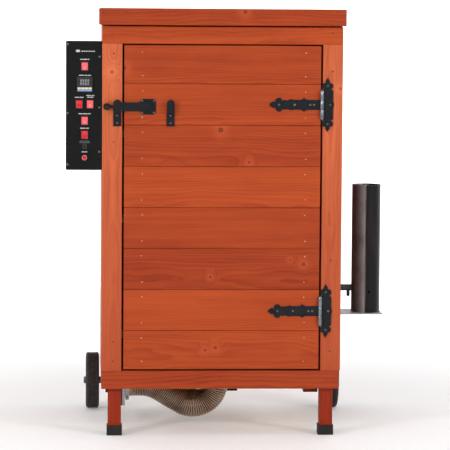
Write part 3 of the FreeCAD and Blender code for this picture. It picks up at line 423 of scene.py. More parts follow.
def matched_section(wide, thick, arris, tongue=True, groove=True):
    """A tongue-and-groove board: the tongue on its high edge, the groove in its low edge."""
    section = square_section(wide, thick, arris)
    quarter = ARRIS_STEPS + 1
    lip, reach = thick * 0.34, min(0.005, wide * 0.2)
    high, low = section[:quarter], section[quarter:2 * quarter]
    rest, last = section[2 * quarter:3 * quarter], section[3 * quarter:]
    along_tongue = [(wide, lip), (wide + reach, lip + CLOSE), (wide + reach, thick - lip - CLOSE),
                    (wide, thick - lip)] if tongue else []
    along_groove = [(0.0, thick - lip + CLOSE), (reach + 0.001, thick - lip + CLOSE),
                    (reach + 0.001, lip - CLOSE), (0.0, lip - CLOSE)] if groove else []
    return high + along_tongue + low + rest + along_groove + last


BOARD_WAVE, BOARD_STATIONS, END_ROUND = 0.00025, 14, 0.0012


def board_rings(section, length, chance):
    """The section along a board, with rounded ends and a slight waviness."""
    middle = (max(a for a, _ in section) / 2, max(t for _, t in section) / 2)
    half = max(middle)
    phase = [chance.uniform(0, 2 * math.pi) for _ in range(3)]
    ends = [(0.0, END_ROUND), (END_ROUND * 0.3, END_ROUND * 0.35), (END_ROUND, 0.0)]
    places = ends + [(length * step / BOARD_STATIONS, 0.0) for step in range(1, BOARD_STATIONS)]
    places += [(length - place, inset) for place, inset in reversed(ends)]
    rings = []
    for place, inset in places:
        shrink = 1 - inset / half
        cup = BOARD_WAVE * math.sin(place * 7.0 + phase[0])
        drift = BOARD_WAVE * math.sin(place * 11.0 + phase[1])
        rings.append([(place, middle[0] + (a - middle[0]) * shrink + drift * 0.5,
                       middle[1] + (t - middle[1]) * shrink + cup * (1 if t > middle[1] else 0.2))
                      for a, t in section])
    return rings


class Boards(Skin):
    """One piece made of many boards. Each board keeps its own grain and its own shade."""

    def __init__(self, seed):
        super().__init__()
        self.chance = random.Random(seed)
        self.marks = {"grain": [], "tone": [], "knot": []}

    def add(self, low, high, along, face, section=square_section, arris=0.0012, tone=None,
            knot=(-9.0, 0.0, 0.0), **options):
        """A board that fills a box. along is its long axis and face the axis it shows its
        finished face to, each as "+X" or "-Y" and so on. knot is the place along and across of a
        knot, from the box's low corner, and its radius."""
        axes = {"X": 0, "Y": 1, "Z": 2}
        long_axis, through_axis = axes[along[1]], axes[face[1]]
        wide_axis = 3 - long_axis - through_axis
        size = [high[axis] - low[axis] for axis in range(3)]
        shape = section(size[wide_axis], size[through_axis], arris, **options)
        rings = board_rings(shape, size[long_axis], self.chance)
        shade = self.chance.random() if tone is None else tone
        shift = (self.chance.uniform(0, 40), self.chance.uniform(-0.05, 0.05),
                 self.chance.uniform(0.03, 0.11))
        start = len(self.points)
        placed = []
        for ring in rings:
            turned = []
            for a, w, t in ring:
                place = [0.0, 0.0, 0.0]
                place[long_axis] = low[long_axis] + a
                place[wide_axis] = low[wide_axis] + w
                place[through_axis] = (high[through_axis] - size[through_axis] + t
                                       if face[0] == "+" else low[through_axis]
                                       + size[through_axis] - t)
                turned.append(Vector(place))
                self.marks["grain"].append((a + shift[0], w + shift[1],
                                            t - size[through_axis] + shift[2]))
                self.marks["tone"].append((shade, self.chance.random(), 0.0))
                self.marks["knot"].append((knot[0] + shift[0], knot[1] + shift[1], knot[2]))
            placed.append(turned)
        self.loft(placed)
        if self.outside_in(start, placed):
            self.faces = [tuple(reversed(face)) if min(face) >= start else face
                          for face in self.faces]

    def outside_in(self, start, rings):
        """Whether the last board's faces look inwards, from the first side face's normal."""
        corners = [point for ring in rings for point in ring]
        middle = sum(corners, Vector()) / len(corners)
        face = next(face for face in self.faces if min(face) >= start)
        a, b, c = (self.points[index] for index in face[:3])
        return (b - a).cross(c - a).dot(a - middle) < 0

    def instead_of(self, node, name, material, slot, body="root"):
        """The boards as a piece that takes a CAD node's place."""
        made = self.piece(name, material, body, slot, 30)
        for mark, values in self.marks.items():
            layer = made.data.attributes.new(mark, "FLOAT_VECTOR", "POINT")
            layer.data.foreach_set("vector", [part for value in values for part in value])
        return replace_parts(made, node)


SEAM = 0.001


def rows(node, count, axis=2):
    """Equal boards side by side along an axis that fill a node's box, from low to high."""
    low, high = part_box(node)
    pitch = (high[axis] - low[axis] + SEAM) / count
    for index in range(count):
        first, last = low.copy(), high.copy()
        first[axis] = low[axis] + index * pitch
        last[axis] = first[axis] + pitch - SEAM
        yield first, last


def drilled(piece, name, centre, axis, radius):
    """The piece with a round hole right through it, cut for good."""
    skin, reach = Skin(), 0.05
    skin.loft(lathe_rings([(-reach, radius), (reach, radius)], centre, axis, 48))
    cutter = skin.thing(name)
    cut = piece.modifiers.new("Hole", "BOOLEAN")
    cut.object, cut.operation, cut.solver = cutter, "DIFFERENCE", "MANIFOLD"
    bpy.context.view_layer.update()
    seen = piece.evaluated_get(bpy.context.evaluated_depsgraph_get())
    piece.data = bpy.data.meshes.new_from_object(seen)
    piece.modifiers.clear()
    bpy.data.objects.remove(cutter)
    return piece


# --- materials of this object ---

DOOR_WOOD = wood("door_wood", rgb(177, 72, 27), rgb(126, 35, 6), rgb(70, 18, 4))
# The frame's wood carries painted shade towards the ground.
FRAME_WOOD = wood("frame_wood", rgb(204, 104, 64), rgb(158, 62, 28), rgb(108, 38, 16),
                  painted_foot_shade=0.7)
POST_WOOD = wood("post_wood", rgb(152, 44, 5), rgb(108, 22, 2), rgb(64, 14, 2))
RAW_WOOD = wood("raw_wood", rgb(214, 178, 132), rgb(178, 130, 84), rgb(110, 70, 42), 0.62)
IRON = black_iron("black_iron")
PANEL = panel_black("panel_black")
STAINLESS = brushed_metal("stainless", rgb(196, 190, 184), rgb(150, 140, 132),
                          240.0, (0.2, 0.4))
# The tube's steel carries a painted reflection on its left part.
TUBE_STEEL = smoked_steel_with_painted_reflection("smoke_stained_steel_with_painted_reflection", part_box("smoke_tube"))
ZINC = brushed_metal("zinc_steel", rgb(190, 192, 194), rgb(150, 152, 154), 240.0,
                     (0.25, 0.45))
BARREL = brushed_metal("barrel_steel", rgb(150, 156, 162), rgb(88, 94, 100),
                       (700.0, 700.0, 60.0), (0.18, 0.34))
DUCT = brushed_metal("duct_foil", rgb(176, 156, 140), rgb(104, 84, 70), 90.0,
                     (0.16, 0.3))
GREY_SHEET = plastic("grey_sheet", rgb(176, 178, 178), rgb(156, 158, 158), (0.4, 0.55), 0.2)
BLACK_PLASTIC = plastic("black_plastic", rgb(24, 25, 27), rgb(32, 33, 35), (0.3, 0.45))
RED_PLAIN = plastic("red_rocker", rgb(214, 14, 30), rgb(196, 10, 24), (0.16, 0.26), 0.1,
                    Coat_Weight=0.4, Coat_Roughness=0.08)
RED_LIT = plastic("red_rocker_lit", rgb(248, 96, 104), rgb(240, 78, 88), (0.16, 0.26), 0.1,
                  Coat_Weight=0.4, Coat_Roughness=0.08)
CREAM = plastic("cream_key", rgb(226, 204, 176), rgb(208, 186, 160), (0.35, 0.5))
BLUE = plastic("blue_band", rgb(128, 160, 204), rgb(112, 146, 192), (0.35, 0.5), 0.1)
SCREEN = plastic("display_window", rgb(14, 15, 22), rgb(18, 19, 27), (0.08, 0.16), 0.02)
DIGIT = plastic("display_digit", rgb(196, 198, 204), rgb(178, 182, 190), (0.4, 0.5), 0.05)
LABEL = plastic("label_ink", rgb(214, 214, 212), rgb(184, 184, 184), (0.5, 0.6), 0.05)
RUBBER = rubber("foot_rubber", rgb(22, 22, 23), rgb(46, 44, 42))
TYRE = rubber("tyre_rubber", rgb(44, 40, 38), rgb(78, 70, 64))
RIM = plastic("rim_plastic", rgb(38, 38, 40), rgb(50, 50, 52), (0.4, 0.55))
NAIL = brushed_metal("nail_head", rgb(214, 158, 126), rgb(188, 128, 96), 300.0,
                     (0.35, 0.5))
SCREW = brushed_metal("screw_steel", rgb(120, 120, 124), rgb(80, 80, 86),
                      260.0, (0.3, 0.45))
DIM_LABEL = plastic("dim_label_ink", rgb(92, 92, 94), rgb(74, 74, 76), (0.5, 0.6), 0.05)
PALE_PINK = plastic("pale_pink_mark", rgb(250, 196, 196), rgb(240, 176, 178), (0.3, 0.4), 0.05)
DARK_RED = plastic("dark_red_mark", rgb(86, 6, 10), rgb(70, 4, 8), (0.3, 0.4), 0.05)
NAIL_HOLE = plastic("nail_hole", rgb(104, 36, 20), rgb(80, 26, 14), (0.7, 0.85), 0.2)


# --- wooden pieces ---

WALL_COURSES, ROOF_BOARDS, DOOR_BOARDS = 9, 5, 8
DOOR_PITCH, DOOR_TOP_BOARD = 0.1235, 0.115
POST, RAIL_GAP = 0.04, 0.004
SIDES = {"left": -1, "right": 1}


def matched_rows(boards, node, count, along, face, axis=2):
    """Tongue-and-groove boards side by side that fill a node's box."""
    for index, (low, high) in enumerate(rows(node, count, axis)):
        boards.add(low, high, along, face, matched_section, tongue=index < count - 1,
                   groove=index > 0)
    return boards


def door_seams():
    """The top and the bottom of each door board, from the highest down."""
    joints = [DOOR_HIGH.z - DOOR_TOP_BOARD - DOOR_PITCH * index
              for index in range(DOOR_BOARDS - 1)]
    return list(zip([DOOR_HIGH.z] + joints, joints + [DOOR_LOW.z]))


def door_boards():
    boards = Boards(11)
    knots = {2: (0.374, 0.0125, 0.0042), 7: (0.276, 0.065, 0.005), 5: (0.5, 0.09, 0.003)}
    last = DOOR_BOARDS - 1
    for index, (top, bottom) in enumerate(door_seams()):
        bottom += SEAM if index < last else 0
        boards.add((DOOR_LOW.x, DOOR_LOW.y, bottom), (DOOR_HIGH.x, DOOR_HIGH.y, top), "+X", "-Y",
                   matched_section, tongue=index > 0, groove=index < last,
                   **({"knot": knots[index]} if index in knots else {}))
    boards.instead_of("door_boards", "door_board_skin", DOOR_WOOD, "stained_wood", "door")

    low, high = LEDGERS
    ledgers = Boards(12)
    for x in (low.x, high.x - POST):
        ledgers.add((x, low.y, low.z), (x + POST, high.y, high.z), "+Z", "+Y")
    ledgers.instead_of("door_ledgers", "door_ledger_skin", RAW_WOOD, "raw_wood", "door")


def wall(node, name, seed, along, face):
    boards = matched_rows(Boards(seed), node, WALL_COURSES, along, face)
    return boards.instead_of(node, name, DOOR_WOOD, "stained_wood")


def face_frame():
    low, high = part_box("door_jambs")
    wide, arris = 0.06, 0.0016
    jambs = Boards(31)
    jambs.add((low.x, low.y, low.z), (low.x + wide, high.y, high.z), "+Z", "-Y", arris=arris,
              tone=0.2, knot=(0.897, 0.029, 0.0055))
    jambs.add((high.x - wide, low.y, low.z), (high.x, high.y, high.z), "+Z", "-Y", arris=arris,
              tone=0.45)
    jambs.instead_of("door_jambs", "door_jamb_skin", FRAME_WOOD, "stained_wood_light")
    for node, seed, tone, gap, slot in (("top_rail", 32, 0.1, RAIL_GAP, "stained_wood_light"),
                                        ("bottom_rail", 33, 0.8, 0, "stained_wood")):
        rail = Boards(seed)
        low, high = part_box(node)
        high.z -= gap
        rail.add(low, high, "+X", "-Y", arris=arris, tone=tone)
        rail.instead_of(node, node + "_skin", DOOR_WOOD, slot)


def posts():
    low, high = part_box("corner_posts")
    rear_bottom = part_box("axle_brackets")[0].z + 0.003
    legs = Boards(34)
    for x in (low.x, high.x - POST):
        legs.add((x, low.y, low.z), (x + POST, low.y + POST, high.z), "+Z", "-Y", arris=0.0025,
                 tone=0.35)
        legs.add((x, high.y - POST, rear_bottom), (x + POST, high.y, high.z), "+Z", "+Y",
                 arris=0.0025)
    legs.instead_of("corner_posts", "corner_post_skin", POST_WOOD, "stained_wood_light")


def lid():
    roof = matched_rows(Boards(41), "lid_boards", ROOF_BOARDS, "+X", "+Z", 1)
    roof.instead_of("lid_boards", "roof_board_skin", DOOR_WOOD, "stained_wood")

    low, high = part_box("lid_fascia")
    thick = 0.02
    left, right, front, back = low.x + thick, high.x - thick, low.y + thick, high.y - thick
    fascia = Boards(42)
    for first, last, along, face, tone in (
            (low, (high.x, front, high.z), "+X", "-Y", 0.9),
            ((low.x, back, low.z), high, "+X", "+Y", None),
            ((low.x, front, low.z), (left, back, high.z), "+Y", "-X", None),
            ((right, front, low.z), (high.x, back, high.z), "+Y", "+X", None)):
        fascia.add(first, last, along, face, arris=0.002, tone=tone)
    fascia.instead_of("lid_fascia", "lid_fascia_skin", DOOR_WOOD, "stained_wood")


def inside_wood():
    """The floor panel's boards round the heater, and the rack runners."""
    low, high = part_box("floor_panel")
    heater_low, heater_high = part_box("heater_box")
    flange = 0.015
    left, right = heater_low.x + flange, heater_high.x - flange
    front, back = heater_low.y + flange, heater_high.y - flange
    floor = Boards(51)
    strips = [((low.x + POST, low.y), (high.x - POST, low.y + POST)),
              ((low.x, low.y + POST), (high.x, front)), ((low.x, front), (left, back)),
              ((right, front), (high.x, back)), ((low.x, back), (high.x, high.y - POST)),
              ((low.x + POST, high.y - POST), (high.x - POST, high.y))]
    for first, last in strips:
        floor.add((*first, low.z), (*last, high.z), "+X", "-Z", arris=0.0008)
    floor.instead_of("floor_panel", "floor_panel_skin", RAW_WOOD, "raw_wood")

    low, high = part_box("rack_runners")
    size = 0.02
    levels = [low.z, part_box("wire_rack")[0].z - size, high.z - size]
    runners = Boards(52)
    for level in levels:
        for x in (low.x, high.x - size):
            runners.add((x, low.y, level), (x + size, high.y, level + size), "+Y", "+Z")
    runners.instead_of("rack_runners", "rack_runner_skin", RAW_WOOD, "raw_wood")


DOOR_LOW, DOOR_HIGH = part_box("door_boards")
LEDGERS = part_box("door_ledgers")
door_boards()
wall("left_wall_boards", "left_wall_skin", 21, "+Y", "-X")
pipe_low, pipe_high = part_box("smoke_outlet_pipe")
PIPE_RADIUS = (pipe_high.y - pipe_low.y) / 2
PIPE_MIDDLE = Vector((pipe_low.x, (pipe_low.y + pipe_high.y) / 2, pipe_high.z - PIPE_RADIUS))
drilled(wall("right_wall_boards", "right_wall_skin", 22, "+Y", "+X"), "pipe_hole",
        (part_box("right_wall_boards")[0].x, PIPE_MIDDLE.y, PIPE_MIDDLE.z), (1, 0, 0),
        PIPE_RADIUS + CLOSE)
vent_low, vent_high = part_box("vent_frame")
VENT_HALF, VENT_BORE = (vent_high.x - vent_low.x) / 2, 0.038
VENT_MIDDLE = Vector(((vent_low.x + vent_high.x) / 2, vent_low.y, vent_low.z + VENT_HALF))
drilled(wall("back_wall_boards", "back_wall_skin", 23, "+X", "+Y"), "vent_hole", VENT_MIDDLE,
        (0, 1, 0), VENT_BORE)
face_frame()
posts()
lid()
inside_wood()


# --- nails and screws ---

def middle_points(node, apart=0.006):
    """The middle of each small separate solid of a node, told apart by their distance."""
    found = []
    for vertex in frame["nodes"][node].data.vertices:
        for group in found:
            if (group[0].xz - vertex.co.xz).length < 2 * apart:
                group.append(vertex.co)
                break
        else:
            found.append([vertex.co])
    middles = []
    for group in found:
        low, high = Vector(map(min, *group)), Vector(map(max, *group))
        middles.append((low + high) / 2)
    return middles


def dots(name, places, out, radius, rise, material, body, slot):
    """Small domed nail heads at points of a surface. out is the way that the surface faces."""
    skin = Skin()
    chance = random.Random(len(places))
    for place in places:
        wide = radius * chance.uniform(0.85, 1.15)
        profile = [(-0.0004, wide), (rise * 0.5, wide), (rise * 0.9, wide * 0.75),
                   (rise, wide * 0.3)]
        jitter = Vector(chance.uniform(-0.0012, 0.0012) * (1 - abs(part)) for part in out)
        skin.loft(lathe_rings(profile, Vector(place) + jitter, out, 14))
    skin.piece(name, material, body, slot)


def screw_head(skin, place, radius, high):
    """A domed head with a cross recess, facing -Y, its back on the point's own plane."""
    profile = [(0.0, radius), (high * 0.25, radius)]
    profile += [(high * (0.25 + 0.75 * math.sin(turn)), radius * math.cos(turn))
                for turn in (math.radians(angle) for angle in (22, 42, 60, 74))]
    skin.loft(lathe_rings(profile, place, (0, -1, 0), 24))
    arm, slot = radius * 0.62, radius * 0.16
    lift = Vector((0, -high - CLOSE, 0))
    for turn in (math.radians(20), math.radians(110)):
        ahead = Vector((math.cos(turn), 0, math.sin(turn)))
        aside = Vector((-math.sin(turn), 0, math.cos(turn)))
        ring = [ahead * arm + aside * slot, ahead * -arm + aside * slot,
                ahead * -arm - aside * slot, ahead * arm - aside * slot]
        base = [Vector(place) + lift * 0.55 + corner for corner in ring]
        top = [Vector(place) + lift + corner * 0.92 for corner in ring]
        skin.loft([base, top])


def screws(name, node, body, radius, high):
    skin = Skin()
    for middle in middle_points(node):
        screw_head(skin, Vector((middle.x, middle.y + high / 2, middle.z)), radius, high)
    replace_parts(skin.piece(name, SCREW, body, "zinc_steel", 50), node)


SCREW_HIGH = 0.0019
screws("frame_screw_heads", "frame_screws", "root", 0.0033, SCREW_HIGH)
screws("door_screw_heads", "door_screws", "door", 0.0034, SCREW_HIGH)


NAIL_RADIUS, NAIL_RISE, NAIL_FROM_SEAM = 0.0019, 0.0005, 0.026


def bright_nails(name, places, out, body="root"):
    dots(name, places, out, NAIL_RADIUS, NAIL_RISE, NAIL, body, "zinc_steel")


def door_nails():
    places = [(x, DOOR_LOW.y, z) for top, bottom in door_seams()
              for x in (LEDGERS[0].x + POST / 2, LEDGERS[1].x - POST / 2)
              for z in (top - 0.022, bottom + 0.024)]
    bright_nails("door_nail_heads", places, (0, -1, 0), "door")


def wall_nails():
    """Two nails in each wall board at each post."""
    for side, sign in SIDES.items():
        node = f"{side}_wall_boards"
        low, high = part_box(node)
        x = low.x if sign < 0 else high.x
        bright_nails(f"{side}_wall_nail_heads",
                     [(x, y, z) for y, z in nail_grid(node, low.y, high.y - POST / 2)],
                     (sign, 0, 0))
    low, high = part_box("back_wall_boards")
    bright_nails("back_wall_nail_heads",
                 [(x, high.y, z) for x, z in nail_grid("back_wall_boards", low.x, high.x)],
                 (0, 1, 0))


def nail_grid(node, first, last):
    """Places across and up, half a post in from both ends and near the edges of each board."""
    return [(across, level) for low, high in rows(node, WALL_COURSES)
            for across in (first + POST / 2, last - POST / 2)
            for level in (low.z + NAIL_FROM_SEAM, high.z - NAIL_FROM_SEAM)]


def frame_nails():
    """Nails set below the stain in the jambs and rails, and along the lid's edge."""
    jamb_low, jamb_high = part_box("door_jambs")
    tall = jamb_high.z - jamb_low.z
    left, right = jamb_low.x + 0.035, jamb_high.x - 0.032
    places = [(left, jamb_low.y, jamb_low.z + tall * share) for share in (0.03, 0.09, 0.7, 0.97)]
    places += [(right, jamb_low.y, jamb_low.z + tall * share) for share in (0.06, 0.34, 0.92)]
    rail_low, rail_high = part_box("bottom_rail")
    places += [((rail_low.x + rail_high.x) / 2, rail_low.y, rail_high.z - 0.024)]
    rail_low, rail_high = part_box("top_rail")
    places += [(rail_low.x + 0.028, rail_low.y, rail_low.z + 0.028),
               (rail_high.x - 0.03, rail_low.y, rail_low.z + 0.034)]
    rise = 0.00025
    dots("frame_nail_holes", places, (0, -1, 0), 0.0024, rise, NAIL_HOLE, "root",
         "stained_wood_light")
    low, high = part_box("lid_fascia")
    chance = random.Random(7)
    wide = high.x - low.x
    across = [low.x + wide * (0.03 + 0.94 * step / 9) + chance.uniform(-0.03, 0.03)
              for step in range(10)]
    front = [(x, low.y, high.z - 0.01 + chance.uniform(-0.002, 0.002)) for x in across]
    for name, y, out in (("front", low.y, (0, -1, 0)), ("back", high.y, (0, 1, 0))):
        dots(f"{name}_lid_nail_holes", [(x, y, z) for x, _, z in front], out, 0.002, rise,
             NAIL_HOLE, "root", "stained_wood")


door_nails()
wall_nails()
frame_nails()


# --- hinges and latch ---

def dress(material, width, *nodes):
    """Give CAD nodes their material and round their sharp edges."""
    for node in nodes:
        part = frame["nodes"][node]
        part.data.materials.clear()
        part.data.materials.append(material)
        if width:
            softened(part, width)


def ridge(skin, route):
    """A half-round raised line along a route on a plate that faces -Y."""
    radius, steps, rings = 0.0009, 7, []
    for index, place in enumerate(route):
        before, after = route[max(index - 1, 0)], route[min(index + 1, len(route) - 1)]
        ahead = (Vector(after) - Vector(before)).normalized()
        aside = ahead.cross(Vector((0, 1, 0)))
        taper = 0.35 if index in (0, len(route) - 1) else 1.0
        rings.append([Vector(place) + radius * taper * (aside * math.cos(turn)
                                                        - Vector((0, 1, 0)) * math.sin(turn))
                      for turn in (math.pi * step / (steps - 1) for step in range(steps))])
    skin.loft(rings)


def hinge_ridges(which):
    """The raised lines pressed into a strap and its leaf."""
    low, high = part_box(f"{which}_hinge_strap")
    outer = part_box(f"{which}_hinge_leaf")[1].x
    front, level, tip = high.y - 0.003, (low.z + high.z) / 2, low.x

    def line(skin, start, route):
        ridge(skin, [(start + along, front, level + up) for along, up in route])

    strap = Skin()
    waist = [(0.062, 0.0085), (0.075, 0.0105), (0.088, 0.0105), (0.105, 0.0145), (0.122, 0.0105),
             (0.142, 0.0100)]
    spear = [(0.004, 0.0), (0.010, 0.0045), (0.018, 0.0035), (0.030, 0.0105), (0.040, 0.0065)]
    for route in (waist, spear):
        for sign in (1, -1):
            line(strap, tip, [(along, sign * half) for along, half in route])
    for start in (0.047, 0.056):
        line(strap, tip, [(start, 0.0085), (start + 0.003, 0), (start, -0.0085)])
    strap.piece(f"{which}_strap_ridges", IRON, "door", "black_steel", 60)

    leaf = Skin()
    root = outer - 0.037
    line(leaf, root, [(0.0115, up) for up in (-0.03, -0.01, 0.01, 0.03)])
    line(leaf, outer, [(-0.0085, -0.034), (-0.007, -0.02), (-0.0035, 0), (-0.007, 0.02),
                       (-0.0085, 0.034)])
    for sign in (1, -1):
        for across in (-0.0055, 0.0055):
            line(leaf, root + 0.017, [(across * 0.5, sign * 0.045), (across, sign * 0.056),
                                      (across * 0.4, sign * 0.066), (across * 0.5, sign * 0.073)])
    leaf.piece(f"{which}_leaf_ridges", IRON, "root", "black_steel", 60)


def barrel(which):
    """Bright worn sleeves on the three knuckles."""
    leaf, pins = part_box(f"{which}_hinge_leaf"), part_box("hinge_pins")
    centre = Vector(((pins[0].x + pins[1].x) / 2, (pins[0].y + pins[1].y) / 2,
                     (leaf[0].z + leaf[1].z) / 2))
    radius, long, gap = 0.0055 + CLOSE, 0.084, 0.0004
    third = long / 3
    for part, body, low, high in (("low_knuckle", "root", -long / 2, -third / 2 - gap),
                                  ("middle_knuckle", "door", gap - third / 2, third / 2 - gap),
                                  ("high_knuckle", "root", third / 2 + gap, long / 2)):
        ends = [(0.0, radius - 0.0008), (0.0003, radius - 0.0002), (0.0009, radius)]
        profile = [(low + along, wide) for along, wide in ends]
        profile += [(high - along, wide) for along, wide in reversed(ends)]
        lathe(f"{which}_{part}", profile, centre, (0, 0, 1), BARREL, body, "zinc_steel", 40)


for hinge in ("upper", "lower"):
    hinge_ridges(hinge)
    barrel(hinge)
dress(IRON, 0.0006, "upper_hinge_strap", "lower_hinge_strap", "upper_hinge_leaf",
      "lower_hinge_leaf", "latch_plate", "jamb_hook", "door_hook")
dress(IRON, 0.0012, "latch_bar")
dress(BARREL, 0.0008, "hinge_pins")


# --- control panel ---

PANEL_LOW, PANEL_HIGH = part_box("control_panel")
PANEL_FRONT = PANEL_LOW.y
RAISED = 0.00025


def rounded(wide, tall, corner, steps=5):
    """The outline of a rounded rectangle about its middle."""
    outline = []
    for index, (u, v) in enumerate(((1, -1), (1, 1), (-1, 1), (-1, -1))):
        middle = (u * (wide / 2 - corner), v * (tall / 2 - corner))
        for step in range(steps + 1):
            turn = math.radians(-90 + 90 * index + 90 * step / steps)
            outline.append((middle[0] + corner * math.cos(turn),
                            middle[1] + corner * math.sin(turn)))
    return outline


def plate(skin, centre, wide, tall, thick, corner=0.0006, across=(1, 0, 0), up=(0, 0, 1)):
    """A thin plate with rounded corners and a rounded front edge, its back at centre."""
    across, up = Vector(across), Vector(up)
    out = across.cross(up)
    soft = min(thick * 0.5, 0.0006)
    rings = []
    for lift, inset in ((-CLOSE, 0.0), (thick - soft, 0.0), (thick - soft * 0.3, soft * 0.4),
                        (thick, soft)):
        outline = rounded(wide - 2 * inset, tall - 2 * inset, max(corner - inset, 0.0001))
        rings.append([Vector(centre) + out * lift + across * u + up * v for u, v in outline])
    skin.loft(rings)


def plates(name, items, material, body="root", slot="black_panel"):
    """One piece made of plates, each given as (centre, wide, tall, thick, options)."""
    skin = Skin()
    for centre, wide, tall, thick, *rest in items:
        plate(skin, centre, wide, tall, thick, **(rest[0] if rest else {}))
    skin.piece(name, material, body, slot)


def ring_lathe(name, profile, centre, axis, material, body, slot, segments=48):
    """A closed section turned about an axis, such as a washer or a bead."""
    lathe(name, profile + profile[:1], centre, axis, material, body, slot, segments, False)


def on_panel(across, down, lift=0.0):
    """A place on the panel's front, across from its left edge and down from its top."""
    return Vector((PANEL_LOW.x + across, PANEL_FRONT - lift, PANEL_HIGH.z - down))


def label(across, down, wide, dashes):
    """A row of dashes as long as a printed label."""
    gap = 0.0014
    share = (wide - gap * (len(dashes) - 1)) / sum(dashes)
    left, items = across - wide / 2, []
    for dash in dashes:
        items.append((on_panel(left + dash * share / 2, down), dash * share, 0.0024, RAISED))
        left += dash * share + gap
    return items


labels = []
for across, down, wide, dashes in (
        (0.056, 0.055, 0.027, (3, 5, 2)), (0.057, 0.1026, 0.036, (6, 3, 4)),
        (0.040, 0.168, 0.026, (4, 4)), (0.073, 0.1625, 0.024, (5, 3)),
        (0.073, 0.1675, 0.018, (2, 3)), (0.056, 0.217, 0.036, (4, 6, 3)),
        (0.056, 0.260, 0.026, (5, 3)), (0.056, 0.3307, 0.0165, (2, 2))):
    labels += label(across, down, wide, dashes)
plates("panel_labels", labels, LABEL)
plates("dim_panel_label", label(0.056, 0.2985, 0.028, (4, 4)) + label(0.056, 0.303, 0.032, (3, 5)),
       DIM_LABEL)
plates("panel_mark", [(on_panel(0.036, 0.03), 0.012, 0.007, RAISED, {"corner": 0.0034})]
       + label(0.066, 0.031, 0.040, (1, 1, 1, 1, 1, 1)), LABEL)
dress(PANEL, 0.0008, "control_panel", "control_box")
dress(BLACK_PLASTIC, 0.0007, "switch_bezels", "temperature_controller")

LIT_ROCKERS = ("upper_rocker", "middle_right_rocker", "lower_rocker")
PLAIN_ROCKERS = ("middle_left_rocker", "bottom_rocker")
ROCKER_TILT = math.radians(8)
ROCKER_FOOT, ROCKER_PIVOT_DEEP, ROCKER_HALF = 0.01254, 0.005, 0.0114
ROCKER_END_RISE, ROCKER_WAIST_RISE = 0.009, 0.0066


def rocker_marks(node, material):
    """A raised bar on a rocker's upper half and a raised ring on its lower half."""
    low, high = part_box(node)
    pivot = Vector(((low.x + high.x) / 2, PANEL_FRONT + ROCKER_PIVOT_DEEP, low.z + ROCKER_FOOT))
    lean = Matrix.Rotation(ROCKER_TILT, 3, "X").transposed()
    upper, middle, lower = (pivot + lean @ Vector((0, -rise, up)) for rise, up in
                            ((ROCKER_END_RISE, ROCKER_HALF), (ROCKER_WAIST_RISE, 0.0),
                             (ROCKER_END_RISE, -ROCKER_HALF)))
    skin = Skin()
    up = (upper - middle).normalized()
    plate(skin, (upper + middle) / 2, 0.0013, 0.0055, RAISED, 0.0004, (1, 0, 0), up)
    out = Vector((1, 0, 0)).cross((middle - lower).normalized())
    inner, outer = 0.0016, 0.0024
    ring = [(-CLOSE, inner), (RAISED, inner), (RAISED, outer), (-CLOSE, outer), (-CLOSE, inner)]
    skin.loft(lathe_rings(ring, (middle + lower) / 2, out, 24), False)
    skin.piece(node + "_marks", material, node, "red_plastic")


for nodes, material, marks in ((LIT_ROCKERS, RED_LIT, PALE_PINK),
                               (PLAIN_ROCKERS, RED_PLAIN, DARK_RED)):
    dress(material, 0.0012, *nodes)
    for node in nodes:
        rocker_marks(node, marks)


def segment_digit(skin, centre, wide, tall):
    """All seven bars of a display digit."""
    bar = tall * 0.13
    for side in (-1, 1):
        for half in (-1, 1):
            place = Vector(centre) + Vector((side * wide / 2, 0, half * tall / 4))
            plate(skin, place, bar, tall / 2 - bar * 1.2, RAISED, bar * 0.4)
    for level in (-1, 0, 1):
        place = Vector(centre) + Vector((0, 0, level * tall / 2))
        plate(skin, place, wide - bar * 1.2, bar, RAISED, bar * 0.4)


def controller_face():
    """The display's window and digits, and the band of colour under its keys."""
    low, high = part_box("temperature_controller")
    middle, proud = (low.x + high.x) / 2, 0.0004
    digit_pitch, digit_wide, digit_tall = 0.0072, 0.0038, 0.0068
    plates("display_window", [((middle, low.y, high.z - 0.0145), 0.037, 0.0225, proud,
                               {"corner": 0.0012})], SCREEN, slot="black_plastic")
    digits = Skin()
    for level in (0.0099, 0.0195):
        for index in range(4):
            segment_digit(digits, (middle + (index - 1.5) * digit_pitch, low.y - proud,
                                   high.z - level), digit_wide, digit_tall)
    digits.piece("display_digits", DIGIT, "root", "cream_plastic")
    plates("controller_blue_band", [((middle, low.y, low.z + 0.0048), 0.0425, 0.0052, proud,
                                     {"corner": 0.0008})], BLUE, slot="cream_plastic")


controller_face()
dress(CREAM, 0.0005, *(f"controller_key_{index}" for index in range(1, 5)))

knob_low, knob_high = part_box("speed_knob")
KNOB_RADIUS = (knob_high.x - knob_low.x) / 2
knob_centre = Vector((knob_low.x + KNOB_RADIUS, PANEL_FRONT, knob_low.z + KNOB_RADIUS))
knob = lathe("knob_body", [(-0.0149, 0.0029), (-0.0146, 0.0031), (0.0003, 0.0031)]
             + [(along, KNOB_RADIUS - inset) for along, inset in (
                 (0.0003, 0.0004), (0.0007, 0.0), (0.0024, 0.0), (0.003, 0.0006),
                 (0.0034, 0.0018), (0.012, 0.0022), (0.0133, 0.0027), (0.0138, 0.0036))],
             knob_centre, (0, -1, 0), RED_PLAIN, "dial", "red_plastic", 72)
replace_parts(knob, "speed_knob")
ring_lathe("knob_ring", [(0.0024, KNOB_RADIUS - 0.0012), (0.0031, KNOB_RADIUS - 0.0009),
                         (0.0031, KNOB_RADIUS - 0.0003), (0.0024, KNOB_RADIUS - 0.0001)],
           knob_centre, (0, -1, 0), PALE_PINK, "dial", "red_plastic")
